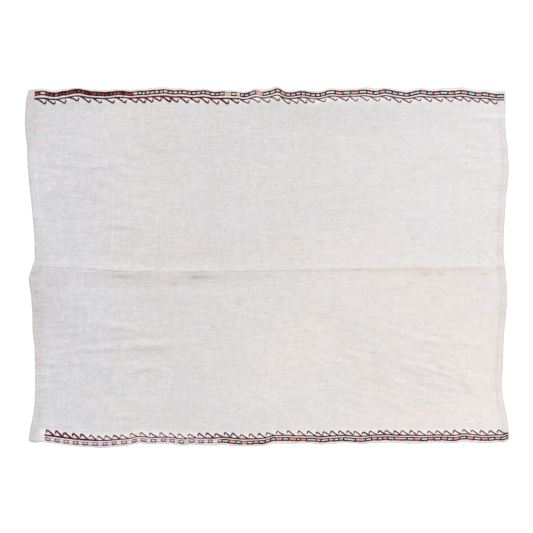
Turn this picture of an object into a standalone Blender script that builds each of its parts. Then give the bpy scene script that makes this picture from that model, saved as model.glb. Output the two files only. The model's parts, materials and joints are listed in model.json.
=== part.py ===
"""A flat-woven hemp rug: two strips sewn edge to edge, with hemmed ends and ornamented outer selvedges.

X runs along the strips, Y across them and Z up from the floor. The origin is on the floor under the middle
of the rug. The strips meet along the seam, near Y = 0, and their ornament runs along the long edges, near
Y = +-0.72 m. Tables give places and heights in millimetres, and everything else is in metres.
"""

import math
from bisect import bisect_right
from collections import namedtuple

import bmesh
import bpy
from mathutils import Vector

MM = 0.001

# Cloth, its turned-under ends and the joint between the strips
CLOTH_THICK = 2.0 * MM
HEM_RISE = 1.5 * MM
HEM_LEFT = 27.0 * MM
HEM_RIGHT = 20.0 * MM
HEM_STEP = 4.0 * MM
SEAM_GAP = 0.3 * MM
SEAM_CREST_HALF = 34.0 * MM

# Lines along each strip. Those by the seam and the selvedge keep their distance from it, and the others
# spread evenly where the strip is wider than STRIP_WIDTH. They lie close together where a fold runs.
STRIP_WIDTH = 730.0 * MM
SEAM_ROWS = (0, 12, 26, 46)
UPPER_BODY_ROWS = (70, 100, 128, 152, 174, 196, 220, 260, 300, 345, 390, 430, 462, 490, 512, 540, 580, 620)
LOWER_BODY_ROWS = (
    *(75, 110, 145, 180, 210, 230, 248, 268, 286, 302, 320),
    *(340, 362, 382, 402, 424, 446, 470, 505, 545, 585, 620),
)

# Lines along the selvedge: how far in from it, and how far the woven ornament stands up there
BorderRow = namedtuple("BorderRow", "inset rise")
BORDER_ROWS = (
    BorderRow(64, 0.0),
    BorderRow(40, 0.5),
    BorderRow(28, 0.0),
    BorderRow(25, 0.9),
    BorderRow(11, 0.9),
    BorderRow(8, 0.0),
    BorderRow(0, 0.0),
)

# Lines across each strip, between its hems
COLUMNS = 128

# The seam, from the left end to the right: its line, and how high the cloth crests there
SeamPoint = namedtuple("SeamPoint", "x y crest")
SEAM = (
    SeamPoint(-980, 1, 2.5),
    SeamPoint(-860, -2, 3.5),
    SeamPoint(-720, -9, 4.5),
    SeamPoint(-590, -17, 6.5),
    SeamPoint(-440, -19, 4.5),
    SeamPoint(-260, -19, 6.5),
    SeamPoint(-90, -18, 5.5),
    SeamPoint(60, -14, 3.0),
    SeamPoint(200, -11, 2.0),
    SeamPoint(450, -7, 2.5),
    SeamPoint(700, -4, 2.0),
    SeamPoint(980, -1, 2.0),
)

# The outer selvedges: a straight line for each, and the waves that swell it outwards or draw it in, from the
# left end to the right
UPPER_EDGE_Y = 716.0 * MM
LOWER_EDGE_Y = -709.5 * MM
Wave = namedtuple("Wave", "x half out")
UPPER_WAVES = (
    Wave(-912, 55, 7),
    Wave(-830, 26, 4),
    Wave(-770, 78, 11),
    Wave(-690, 46, 3),
    Wave(-600, 70, 6),
    Wave(-510, 60, 6),
    Wave(-468, 40, 4),
    Wave(-420, 80, 13),
    Wave(-345, 48, 8),
    Wave(-300, 38, 3),
    Wave(-258, 48, 7),
    Wave(-170, 46, 2),
    Wave(-92, 34, -5),
    Wave(-42, 36, 8),
    Wave(8, 34, 7),
    Wave(38, 32, 16),
    Wave(60, 22, 3),
    Wave(84, 22, -2),
    Wave(140, 36, 3),
    Wave(196, 46, -4),
    Wave(262, 46, 9),
    Wave(298, 36, 3),
    Wave(332, 46, 7),
    Wave(368, 38, 4),
    Wave(405, 54, 12),
    Wave(476, 62, 11),
    Wave(530, 40, 3),
    Wave(622, 66, 9),
    Wave(696, 50, 6),
    Wave(724, 44, 5),
    Wave(786, 76, 12),
    Wave(872, 48, 3),
    Wave(936, 56, -5),
    Wave(990, 44, -8),
)
LOWER_WAVES = (
    Wave(-985, 62, -9),
    Wave(-912, 28, -3),
    Wave(-800, 110, 10),
    Wave(-665, 170, 22),
    Wave(-560, 70, 6),
    Wave(-468, 62, 8),
    Wave(-400, 60, 6),
    Wave(-335, 66, 13),
    Wave(-264, 54, 12),
    Wave(-208, 56, 13),
    Wave(-158, 42, 8),
    Wave(-106, 76, 16),
    Wave(-60, 44, 6),
    Wave(-20, 62, 13),
    Wave(55, 50, 4),
    Wave(110, 50, 6),
    Wave(165, 40, 4),
    Wave(222, 52, 9),
    Wave(270, 38, 5),
    Wave(385, 66, 6),
    Wave(450, 34, 2),
    Wave(590, 110, 4),
    Wave(745, 50, 3),
    Wave(800, 36, -4),
    Wave(880, 50, 3),
    Wave(990, 42, -12),
)

# The hemmed ends, from the outer corner of each strip to the seam
EndPoint = namedtuple("EndPoint", "y x")
UPPER_LEFT_END = (
    EndPoint(740, -960),
    EndPoint(712, -966),
    EndPoint(682, -973),
    EndPoint(650, -977),
    EndPoint(618, -979),
    EndPoint(553, -977),
    EndPoint(488, -970),
    EndPoint(423, -968),
    EndPoint(358, -963),
    EndPoint(260, -953),
    EndPoint(132, -941),
    EndPoint(50, -939),
    EndPoint(-20, -941),
)
UPPER_RIGHT_END = (
    EndPoint(740, 964),
    EndPoint(690, 966),
    EndPoint(600, 965),
    EndPoint(553, 966),
    EndPoint(520, 970),
    EndPoint(470, 976),
    EndPoint(391, 979),
    EndPoint(326, 974),
    EndPoint(261, 967),
    EndPoint(130, 960),
    EndPoint(80, 958),
    EndPoint(34, 960),
    EndPoint(-20, 966),
)
LOWER_LEFT_END = (
    EndPoint(-730, -961),
    EndPoint(-690, -963),
    EndPoint(-650, -957),
    EndPoint(-614, -949),
    EndPoint(-570, -942),
    EndPoint(-510, -939),
    EndPoint(-400, -938),
    EndPoint(-322, -940),
    EndPoint(-257, -947),
    EndPoint(-160, -950),
    EndPoint(-100, -956),
    EndPoint(-50, -963),
    EndPoint(-15, -958),
    EndPoint(20, -953),
)
LOWER_RIGHT_END = (
    EndPoint(-730, 980),
    EndPoint(-670, 979),
    EndPoint(-614, 974),
    EndPoint(-549, 960),
    EndPoint(-516, 955),
    EndPoint(-468, 951),
    EndPoint(-400, 956),
    EndPoint(-300, 959),
    EndPoint(-192, 968),
    EndPoint(-128, 973),
    EndPoint(-63, 971),
    EndPoint(-20, 966),
    EndPoint(20, 963),
)

# Soft folds of the lying cloth: middle, direction in degrees from +X, reach along and across, and height
Fold = namedtuple("Fold", "name x y turn half_length half_width lift")
FOLDS = (
    Fold("long ripple, lower left", -478, -320, 4, 230, 26, 5.0),
    Fold("ripple above it", -600, -250, -3, 150, 24, 3.0),
    Fold("ripple below it", -520, -412, 7, 130, 25, 3.0),
    Fold("dimple, left of upper strip", -600, 166, -6, 80, 26, 3.0),
    Fold("ripple, upper left", -415, 486, -8, 90, 28, 2.5),
    Fold("old crease, left of upper strip", -783, 190, 96, 210, 26, 1.6),
    Fold("old crease, left of lower strip", -735, -250, 95, 190, 26, 1.6),
    Fold("pleat by the lower right corner", 818, -455, -52, 105, 28, 5.0),
    Fold("slanting ripple, lower right", 610, -402, -14, 150, 28, 2.5),
    Fold("short ripple, lower right", 480, -455, -33, 95, 28, 2.2),
    Fold("upright crease, right of upper strip", 290, 488, -82, 90, 28, 2.2),
    Fold("long upright crease, upper right", 785, 315, 84, 190, 32, 2.0),
    Fold("slanting crease above the seam", 135, 130, -46, 95, 30, 1.8),
    Fold("slanting crease below the seam", -182, -150, -50, 85, 28, 2.2),
    Fold("buckle under the peak of the upper selvedge", 38, 700, 90, 60, 30, 5.0),
    Fold("raised corner, lower left", -880, -655, 32, 100, 30, 2.5),
)

# Finish of the cloth, with its colours as sRGB
HEMP_UPPER = (0.86, 0.85, 0.84)
HEMP_LOWER = (0.87, 0.85, 0.83)
HEMP_ROUGHNESS = 0.92
SHARP_ANGLE = math.radians(40.0)

# The two strips of the rug
Strip = namedtuple("Strip", "node material colour edge_y waves left_end right_end body_rows")
STRIPS = (
    Strip(
        node="panel_upper",
        material="hemp_upper",
        colour=HEMP_UPPER,
        edge_y=UPPER_EDGE_Y,
        waves=UPPER_WAVES,
        left_end=UPPER_LEFT_END,
        right_end=UPPER_RIGHT_END,
        body_rows=UPPER_BODY_ROWS,
    ),
    Strip(
        node="panel_lower",
        material="hemp_lower",
        colour=HEMP_LOWER,
        edge_y=LOWER_EDGE_Y,
        waves=LOWER_WAVES,
        left_end=LOWER_LEFT_END,
        right_end=LOWER_RIGHT_END,
        body_rows=LOWER_BODY_ROWS,
    ),
)


def bell(t):
    """A smooth hump, 1 at t = 0 and level at 0 from t = 1 on."""
    return 0.5 * (1.0 + math.cos(math.pi * t)) if abs(t) < 1.0 else 0.0


def through(points, key):
    """Height at key of a smooth curve through (key, height) points, which rise in key."""
    i = min(max(bisect_right(points, (key,)) - 1, 0), len(points) - 2)
    (k0, h0), (k1, h1) = points[i], points[i + 1]
    slopes = []
    for k in (i, i + 1):
        before, after = points[max(k - 1, 0)], points[min(k + 1, len(points) - 1)]
        slopes.append((after[1] - before[1]) / (after[0] - before[0]))
    span, rise = k1 - k0, h1 - h0
    t = min(max((key - k0) / span, 0.0), 1.0)
    bend = (slopes[0] * span - rise) * (1.0 - t) + (rise - slopes[1] * span) * t
    return h0 + rise * t + t * (1.0 - t) * bend


SEAM_LINE = [(p.x * MM, p.y * MM) for p in SEAM]
SEAM_CRESTS = [(p.x * MM, p.crest * MM) for p in SEAM]


def end_line(points):
    """An end's table as (y, x) points in metres, in rising order of y."""
    return sorted((p.y * MM, p.x * MM) for p in points)


def selvedge_y(strip, x):
    """Outer selvedge at x: its straight line with each wave swelling it outwards or drawing it in."""
    swell = sum(wave.out * bell((x / MM - wave.x) / wave.half) for wave in strip.waves)
    return strip.edge_y + math.copysign(1.0, strip.edge_y) * swell * MM


def lift(x, y):
    """Height of the cloth's underside above the floor: the crest along the seam, and the folds."""
    height = through(SEAM_CRESTS, x) * bell((y - through(SEAM_LINE, x)) / SEAM_CREST_HALF)
    for fold in FOLDS:
        turn = math.radians(fold.turn)
        dx, dy = x / MM - fold.x, y / MM - fold.y
        along = dx * math.cos(turn) + dy * math.sin(turn)
        across = dy * math.cos(turn) - dx * math.sin(turn)
        height += fold.lift * MM * bell(along / fold.half_length) * bell(across / fold.half_width)
    return height


def column_x(c, left, right):
    """Place of column c between a strip's ends: two in each hem, the others spread evenly between the hems."""
    inner_left, inner_right = left + HEM_LEFT + HEM_STEP, right - HEM_RIGHT - HEM_STEP
    first = (left, left + HEM_LEFT)
    last = (right - HEM_RIGHT, right)
    if c < len(first):
        return first[c]
    if c > COLUMNS + len(first):
        return last[c - COLUMNS - len(first) - 1]
    return inner_left + (inner_right - inner_left) * (c - len(first)) / COLUMNS


def row_lines(seam, selvedge, body_rows):
    """Places of a strip's rows from the seam out to the selvedge."""
    out = math.copysign(1.0, selvedge)
    kept = (SEAM_ROWS[-1] + BORDER_ROWS[0].inset) * MM
    share = (abs(selvedge - seam) - kept) / (STRIP_WIDTH - kept)
    rows = [seam + out * d * MM for d in SEAM_ROWS]
    rows += [rows[-1] + out * (d - SEAM_ROWS[-1]) * MM * share for d in body_rows]
    rows += [selvedge - out * row.inset * MM for row in BORDER_ROWS]
    return rows


def strip_grids(strip):
    """Top and underside points of one strip, as columns of rows from the seam out.

    Slanting ends make a column's X depend on Y, and the seam and selvedge make a row's Y depend on X, so each
    point is settled in a few passes.
    """
    left_line, right_line = end_line(strip.left_end), end_line(strip.right_end)
    half_gap = math.copysign(SEAM_GAP / 2, strip.edge_y)
    rises = [0.0] * (len(SEAM_ROWS) + len(strip.body_rows)) + [row.rise * MM for row in BORDER_ROWS]
    last = COLUMNS + 4
    top, under = [], []
    for c in range(last + 1):
        hem = HEM_RISE if min(c, last - c) < 2 else 0.0
        top.append([])
        under.append([])
        for r, rise in enumerate(rises):
            x, y = column_x(c, left_line[0][1], right_line[0][1]), 0.0
            for _ in range(3):
                seam = through(SEAM_LINE, x) + half_gap
                y = row_lines(seam, selvedge_y(strip, x), strip.body_rows)[r]
                x = column_x(c, through(left_line, y), through(right_line, y))
            floor = lift(x, y)
            under[-1].append(Vector((x, y, floor)))
            top[-1].append(Vector((x, y, floor + CLOTH_THICK + hem + rise)))
    return top, under


def add_skin(bm, grid):
    """Joins a grid of points with four-sided faces and returns its vertices."""
    verts = [[bm.verts.new(point) for point in column] for column in grid]
    for this, following in zip(verts, verts[1:]):
        for r in range(len(this) - 1):
            bm.faces.new((this[r], following[r], following[r + 1], this[r + 1]))
    return verts


def outline(verts):
    """The vertices round the outside of a grid, in order."""
    return [
        *(column[0] for column in verts),
        *verts[-1][1:],
        *(column[-1] for column in reversed(verts[:-1])),
        *verts[0][-2:0:-1],
    ]


def make_material(name, srgb, roughness):
    material = bpy.data.materials.new(name)
    material.use_nodes = True
    shader = material.node_tree.nodes["Principled BSDF"]
    linear = [((c + 0.055) / 1.055) ** 2.4 for c in srgb]
    shader.inputs["Base Color"].default_value = (*linear, 1.0)
    shader.inputs["Roughness"].default_value = roughness
    shader.inputs["Metallic"].default_value = 0.0
    material.diffuse_color = (*linear, 1.0)
    return material


def make_strip(strip):
    """One closed strip of cloth, with a top, an underside and a rim between them."""
    bm = bmesh.new()
    top, under = (outline(add_skin(bm, grid)) for grid in strip_grids(strip))
    for k, vert in enumerate(top):
        after = (k + 1) % len(top)
        bm.faces.new((vert, under[k], under[after], top[after]))
    bmesh.ops.recalc_face_normals(bm, faces=bm.faces)
    bmesh.ops.triangulate(bm, faces=bm.faces)
    mesh = bpy.data.meshes.new(strip.node)
    bm.to_mesh(mesh)
    bm.free()
    mesh.shade_smooth()
    mesh.set_sharp_from_angle(angle=SHARP_ANGLE)
    mesh.materials.append(make_material(strip.material, strip.colour, HEMP_ROUGHNESS))
    bpy.context.scene.collection.objects.link(bpy.data.objects.new(strip.node, mesh))


def main():
    for obj in list(bpy.data.objects):
        bpy.data.objects.remove(obj, do_unlink=True)
    for strip in STRIPS:
        make_strip(strip)


main()
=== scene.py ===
"""A flat-woven hemp rug, laid out on the floor and seen from straight above.

Two strips of a narrow loom are laced edge to edge along the middle, and their cut ends are turned under and
hemmed. A chain and a row of hooks in wool run along each outer selvedge. X runs along the strips, Y across
them and Z up from the floor. Tables give places and sizes in millimetres, and all else is in metres.
"""

import json
import math
import random
from bisect import bisect_right
from collections import defaultdict, namedtuple
from functools import cache, partial

import bmesh
import bpy
import numpy as np
from bpy.props import FloatProperty, FloatVectorProperty, IntProperty, PointerProperty
from bpy.types import Operator, Panel, PropertyGroup
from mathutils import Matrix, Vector, noise
from mathutils.bvhtree import BVHTree

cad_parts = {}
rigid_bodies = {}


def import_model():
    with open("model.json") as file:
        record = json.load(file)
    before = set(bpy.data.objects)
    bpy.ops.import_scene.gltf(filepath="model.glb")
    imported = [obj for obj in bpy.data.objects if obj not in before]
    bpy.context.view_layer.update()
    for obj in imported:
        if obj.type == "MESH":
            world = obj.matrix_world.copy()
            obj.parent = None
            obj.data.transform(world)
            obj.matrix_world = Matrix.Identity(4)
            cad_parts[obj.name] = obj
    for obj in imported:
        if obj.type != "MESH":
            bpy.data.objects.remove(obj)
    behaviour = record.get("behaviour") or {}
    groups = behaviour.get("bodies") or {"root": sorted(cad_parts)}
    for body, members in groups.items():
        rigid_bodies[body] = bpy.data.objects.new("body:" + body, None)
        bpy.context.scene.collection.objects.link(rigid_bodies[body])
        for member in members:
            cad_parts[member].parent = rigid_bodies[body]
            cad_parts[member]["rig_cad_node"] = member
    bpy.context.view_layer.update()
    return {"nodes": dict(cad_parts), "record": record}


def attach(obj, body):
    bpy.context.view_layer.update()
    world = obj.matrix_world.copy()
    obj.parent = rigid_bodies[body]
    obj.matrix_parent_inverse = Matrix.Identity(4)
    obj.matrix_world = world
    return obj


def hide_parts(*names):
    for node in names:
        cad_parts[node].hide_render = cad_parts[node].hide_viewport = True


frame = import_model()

bl_info = {
    "name": "Hemp rug",
    "version": (1, 0, 0),
    "blender": (4, 5, 0),
    "location": "3D View > Sidebar > Rug",
    "description": "Lays out a two-strip hemp rug with wool ornament along its selvedges",
    "category": "Add Mesh",
}

MM = 0.001


def table(columns, *rows):
    """The rows of a table, with their columns named."""
    row = namedtuple("Row", columns)
    return tuple(row(*values) for values in rows)


def linear(code):
    """An sRGB hex colour as linear red, green and blue."""
    parts = [int(code[i : i + 2], 16) / 255 for i in (0, 2, 4)]
    return tuple(p / 12.92 if p <= 0.04045 else ((p + 0.055) / 1.055) ** 2.4 for p in parts)


# How a solid's outline is read: points this close are one, a face is upright or level by its normal's Z,
# and the lines read from it are sampled in such steps
WELD = 0.01 * MM
UPRIGHT = 0.1
LEVEL = 0.5
LINE_STEP = 2.0 * MM

# Corners by the left end of the seam, where the strips are drawn together: how far from the seam the
# strip's end bends, and how far it is moved along X
CornerBend = namedtuple("CornerBend", "reach along")
CORNER_BENDS = {"panel_upper": CornerBend(32, -9), "panel_lower": CornerBend(34, 6)}

# Rows of points by a strip's long edges: how far in, and how much of the cloth's thickness is left there
EDGE_ROWS = table(
    "inset thickness",
    (0.0, 0.3),
    (0.8, 0.78),
    (2.2, 1.0),
    (5.5, 1.0),
)

# Turned-under ends: points along the flap and round its fold, the gap inside it, how far before the slope
# the level part ends, how far in the top layer has come down again, and the points of this slope
FLAP_POINTS = 5
FOLD_POINTS = 7
HEM_GAP = 0.1 * MM
HEM_LEVEL_END = 1.0 * MM
HEM_SLOPE = 9.0 * MM
HEM_SLOPE_POINTS = 5

# A station of the cloth along its length: its share of the way from the left hem to the right one, how
# far in from each end, how high its middle layer lies, and which way its face looks
Station = namedtuple("Station", "share from_left from_right rise face_x face_z")

# Times that a strip's points are placed, as their X depends on their Y and the other way round
PLACING_PASSES = 5

# Wear of the turned-under ends, which are browned in streaks: how far in it is full, where it begins to
# fade and where it ends, the share of it at the fold, and how strong it is along each end
HemWear = namedtuple("HemWear", "full fading end at_fold")
WEAR_LEFT = HemWear(20, 30, 50, 0.25)
WEAR_RIGHT = HemWear(14, 16, 44, 0.35)
END_WEAR = table(
    "y left right",
    (-700, 0.9, 0.4),
    (-590, 0.6, 0.4),
    (-470, 0.4, 0.7),
    (-330, 1.0, 0.7),
    (-200, 0.8, 0.9),
    (-130, 0.7, 1.0),
    (-30, 1.1, 1.0),
    (50, 0.4, 0.9),
    (200, 0.3, 0.8),
    (260, 0.0, 0.9),
    (440, 0.0, 0.9),
    (520, 0.8, 0.6),
    (700, 0.55, 0.2),
)

# How far in the folded ends and the outer selvedges are darkened with painted shade, where they round down,
# and how much nearer at the right end
FOLD_SHADE_REACH = 8.0 * MM
FOLD_SHADE_NEARER = 1.5

# Height of the solids' undersides, read on a lattice in plan and smoothed
GROUND_STEP = 6.0 * MM
GROUND_PASSES = 5

# Creases of the lying cloth that are finer than its folds: middle, direction in degrees from +X, reach
# along and across, and height, which is below zero in a trough
CREASES = table(
    "x y turn half_length half_width height",
    (-470, -318, 7, 115, 26, 2.0),
    (-620, -338, 0, 110, 18, 1.2),
    (-600, -242, -7, 160, 20, 2.8),
    (-520, -416, 9, 100, 17, 2.9),
    (-640, -420, 4, 80, 15, 1.5),
    (-790, -455, 4, 85, 15, 1.7),
    (-880, -390, -8, 60, 18, 1.8),
    (-790, -622, 8, 100, 18, -1.4),
    (-570, -604, 3, 100, 15, 2.0),
    (-350, -378, -10, 60, 13, 1.3),
    (-745, -220, 93, 150, 13, -2.0),
    (-878, -200, 90, 160, 11, -1.6),
    (700, -428, -18, 140, 14, 2.5),
    (725, -396, -20, 70, 14, 1.6),
    (800, -478, -52, 95, 30, 0.9),
    (807, -472, -52, 90, 13, 1.1),
    (630, -540, -8, 90, 15, 1.6),
    (665, -296, 5, 55, 13, 1.8),
    (745, -352, -8, 80, 14, 1.6),
    (270, -384, 0, 70, 12, 1.5),
    (200, -186, 3, 60, 14, 1.2),
    (45, -40, 0, 80, 10, 0.8),
    (-585, 167, -3, 70, 13, 2.4),
    (-880, 437, 5, 65, 14, -1.7),
    (-830, 491, 0, 60, 14, 1.7),
    (-710, 408, 0, 120, 16, 1.5),
    (-770, 130, 91, 140, 12, 1.8),
    (-633, 122, 91, 120, 11, 1.6),
    (-540, 294, -3, 65, 13, 1.5),
    (-430, 479, -8, 75, 14, 1.6),
    (-400, 616, 3, 75, 13, 1.4),
    (-420, 58, 1, 200, 15, 1.1),
    (905, 603, 0, 110, 18, 3.4),
    (880, 532, 2, 90, 14, 1.7),
    (465, 334, 0, 110, 12, 1.0),
    (860, 106, -45, 60, 14, 1.0),
    (906, 46, -50, 60, 14, 2.0),
    (152, 92, 82, 60, 12, 1.8),
    (115, 128, -38, 60, 13, 1.2),
)

# Ripples, which lie close together in some parts of the cloth: the part's middle and reach along and
# across, their direction in degrees from +X, how long and how wide they are, their height, and their
# layer of the noise
RIPPLES = table(
    "x y half_length half_width turn along across height layer",
    (-640, -340, 420, 320, 3, 110, 25, 3.4, 11.0),
    (-700, 320, 480, 460, -2, 100, 23, 2.5, 14.1),
    (540, -400, 560, 320, -16, 100, 23, 2.8, 17.2),
    (200, 330, 700, 420, -2, 150, 24, 1.3, 20.3),
    (880, 480, 200, 340, -4, 80, 22, 2.5, 23.4),
)

# Puckers that the hem stitches draw in: how far apart they lie, how far in they reach, how high they
# stand, and where in the noise each end has its own
PUCKERS_APART = 52.0 * MM
PUCKER_REACH = 95.0 * MM
PUCKER_HEIGHT = 2.0 * MM
PUCKER_LAYER = 0.5
PUCKER_END = 2.0

# The seam: the strips rise to it from both sides, and the upper strip's edge stands a little above the
# lower one's
SEAM_ROLL_HALF = 15.0 * MM
SEAM_ROLL = 0.15 * MM
SEAM_RISES = table(
    "x half_length half_width height",
    (-640, 180, 34, 1.15),
    (-500, 160, 30, 0.8),
    (-270, 140, 32, 1.5),
    (-60, 140, 26, 0.6),
    (330, 240, 20, 0.3),
    (760, 240, 22, 0.5),
)

# Soft unevenness of the cloth: patches of these sizes, how high they stand, and their layer of the noise
SWELLS = table(
    "along across height layer",
    (190, 110, 0.8, 1.7),
    (80, 30, 0.42, 9.0),
    (36, 15, 0.14, 16.3),
)

# Marks on the cloth: kind, middle, reach along and across, and strength
MARKS = table(
    "kind x y along across strength",
    ("ochre", 705, -413, 22, 13, 0.45),
    ("ochre", 12, -36, 30, 7, 0.4),
    ("ochre", 126, -57, 26, 7, 0.35),
    ("ochre", 640, -30, 34, 7, 0.7),
    ("ochre", 703, -32, 26, 8, 0.65),
    ("ochre", 582, -65, 24, 6, 0.5),
    ("ochre", 876, -28, 30, 8, 0.5),
    ("ochre", 560, -14, 480, 14, 0.17),
    ("rose", -676, 630, 11, 10, 0.55),
    ("brown", -583, -38, 70, 9, 0.6),
    ("brown", -270, -42, 86, 9, 0.6),
    ("brown", -735, -70, 22, 8, 0.35),
    ("brown", -378, -70, 24, 8, 0.35),
    # This band below the seam is partly soil and partly painted shade below the seam's rise
    ("soil", -430, -58, 430, 36, 0.2),
    ("soil", -865, -64, 100, 60, 0.34),
    ("grey", -560, -290, 560, 330, 0.07),
    ("grey", -480, -138, 430, 60, 0.16),
    ("grey", -60, 500, 280, 75, 0.12),
    ("grey", 330, 610, 780, 110, 0.17),
    ("grey", -730, 690, 320, 56, 0.4),
    ("soil", -915, -150, 100, 200, 0.34),
    ("soil", -850, -230, 130, 210, 0.13),
    ("soil", -935, 600, 50, 130, 0.1),
    ("tan", -330, 50, 430, 170, 0.26),
    ("tan", -420, -62, 440, 52, 0.35),
    ("tan", -30, -668, 170, 22, 0.35),
    ("tan", 60, 80, 170, 90, 0.3),
    ("tan", 470, 8, 260, 14, 0.3),
    ("cream", 420, 50, 640, 180, 0.3),
    ("cream", 110, -330, 330, 360, 0.24),
    ("bleached", 320, -620, 520, 110, 0.22),
    ("bleached", 880, -570, 430, 190, 0.24),
    # These two marks along the seam are painted highlight on the seam's rise, where it faces the light
    ("bleached", -728, -14, 120, 12, 0.3),
    ("bleached", -440, -14, 190, 12, 0.2),
    ("bleached", 10, -520, 270, 130, 0.2),
)

# Tints of the marks on the cloth
MARK_TINTS = {
    "soil": "A79C92",
    "brown": "7E6E60",
    "grey": "A9A8AD",
    "ochre": "B29A72",
    "rose": "C09A98",
    "tan": "C6BCB2",
    "cream": "DED4CB",
    "bleached": "E2DEDD",
}

# Cloth in the ornament's band is washed paler: how far in from the selvedge it is palest, where that
# ends, and how far from the turned-under ends it begins
WASHED_TO = 36.0 * MM
WASHED_END = 66.0 * MM
WASHED_FROM_END = 24.0 * MM

# Yarns of the ornament and the sewing: what each is, and its two shades, a deep one and a faded one
Yarn = namedtuple("Yarn", "name deep faded")
YARNS = {
    "madder": Yarn("handspun wool, madder red", "3A0209", "80141E"),
    "crimson": Yarn("handspun wool, crimson red", "52060F", "A02024"),
    "rose": Yarn("handspun wool, faded rose", "B4626A", "E6AAA6"),
    "black": Yarn("handspun wool, green black", "020404", "0E1717"),
    "silver": Yarn("handspun wool, natural grey", "B0B5B5", "E6E8E6"),
    "cream": Yarn("handspun wool, natural cream", "DCD6D0", "F4F0EC"),
    "blue": Yarn("handspun wool, faded blue grey", "8E90A6", "C2C4D2"),
    "orange": Yarn("handspun wool, faded orange", "9E5236", "CC8664"),
    "tan": Yarn("handspun wool, light tan", "B08C66", "DCC2A0"),
    "brown": Yarn("handspun wool, brown mauve", "340E17", "824350"),
    "wine": Yarn("handspun wool, wine red", "42050F", "801A2A"),
    "gold": Yarn("handspun wool, weld gold", "B08A36", "DEC070"),
    "thread": Yarn("hemp sewing thread, natural", "BDB8B3", "D6D2CE"),
    "grey_thread": Yarn("hemp sewing thread, greyed", "B3B2B9", "CFCED3"),
    "tan_thread": Yarn("hemp sewing thread, browned", "BFB09C", "EAE2D8"),
}

# Links of the chain: the yarns of its outline and of its outer and inner courses, and how wide the
# outline's rails are, as a share of the yarn's width
Link = namedtuple("Link", "outline outer inner rail")
LINKS = {
    "red": Link("madder", "rose", "cream", 1.62),
    "bright": Link("crimson", "rose", "cream", 1.55),
    "fine": Link("crimson", "rose", "cream", 1.2),
    "black": Link("black", "silver", "cream", 1.62),
    "dense": Link("madder", "madder", "wine", 1.62),
    "dark": Link("black", "black", "madder", 1.62),
    "window": Link("madder", "cream", "silver", 1.62),
    "blue": Link("blue", "silver", "cream", 1.2),
    "orange": Link("tan", "rose", "cream", 1.3),
    "tan": Link("tan", "cream", "cream", 1.3),
    "grey": Link("black", "silver", "silver", 1.5),
    "peach": Link("rose", "tan", "cream", 1.3),
    "ember": Link("orange", "tan", "rose", 1.3),
    "flame": Link("crimson", "gold", "rose", 1.3),
}

# Runs of the chain from left to right: where each ends, how long its links are, and their kinds in turn
RUN = "end link kinds"
UPPER_CHAIN = table(
    RUN,
    (-919, 20, ("dense",)),
    (-895, 24, ("window",)),
    (-542, 16, ("dense", "dark", "dense")),
    (-522, 20, ("window",)),
    (-474, 16, ("black", "red")),
    (-172, 18.9, ("red", "black")),
    (-144, 28, ("orange",)),
    (-124, 20, ("black",)),
    (-108, 16, ("tan",)),
    (-73, 18, ("grey", "red")),
    (-44, 28, ("grey",)),
    (-17, 27, ("peach",)),
    (12, 29, ("black",)),
    (237, 20.4, ("red", "black")),
    (276, 40, ("black",)),
    (404, 32, ("red", "black")),
    (577, 24.8, ("red", "black")),
    (620, 42, ("black",)),
    (957, 28, ("red", "black")),
)
LOWER_CHAIN = table(
    RUN,
    (-182, 19.5, ("fine", "blue")),
    (-103, 26, ("black", "bright")),
    (-81, 22, ("ember",)),
    (89, 24, ("black", "bright")),
    (120, 31, ("bright",)),
    (135, 15, ("black",)),
    (161, 26, ("flame",)),
    (200, 39, ("black",)),
    (218, 18, ("bright",)),
    (250, 32, ("black",)),
    (310, 20, ("bright", "black")),
    (358, 48, ("black",)),
    (399, 41, ("bright",)),
    (515, 23, ("black", "bright")),
    (567, 52, ("bright",)),
    (975, 28, ("black", "bright")),
)

# Runs of the hooks from left to right: where the last of their roots lies, how far apart they are, their
# yarn, how faded that is, how wide their strokes are, and how far they reach down from the base line
HOOK_RUN = "end pitch yarn fading width depth"
UPPER_HOOKS = table(
    HOOK_RUN,
    (-900, 36.0, "brown", 0.0, 7.2, 22.0),
    (-564, 48.0, "brown", 0.1, 6.8, 20.5),
    (-400, 33.0, "wine", 0.35, 7.0, 20.5),
    (-112, 41.1, "wine", 0.2, 7.0, 20.5),
    (52, 41.1, "brown", 0.4, 5.2, 19.5),
    (155, 34.4, "brown", 0.35, 5.6, 20.0),
    (459, 43.4, "brown", 0.6, 5.0, 18.0),
    (712, 42.3, "brown", 0.5, 5.2, 17.5),
    (927, 35.7, "brown", 0.45, 5.2, 17.5),
)
LOWER_HOOKS = table(
    HOOK_RUN,
    (-684, 34.2, "wine", 0.15, 7.4, 20.5),
    (-559, 31.3, "brown", 0.3, 5.6, 18.0),
    (-244, 39.4, "brown", 0.45, 5.0, 17.0),
    (32, 34.5, "brown", 0.2, 6.0, 18.5),
    (200, 42.0, "brown", 0.45, 5.2, 18.5),
    (355, 31.0, "brown", 0.25, 5.8, 18.0),
    (612, 32.1, "brown", 0.2, 5.6, 18.0),
    (1006, 35.8, "brown", 0.35, 5.4, 18.5),
)

# A hook's stroke from the base line, round its corner to the tip, as shares of its reach and of its depth
HOOK_STROKE = table(
    "along down",
    (0.0, 0.0),
    (0.22, 0.2),
    (0.45, 0.46),
    (0.68, 0.76),
    (0.82, 0.95),
    (0.92, 1.0),
    (1.0, 0.86),
    (1.02, 0.6),
)

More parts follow.
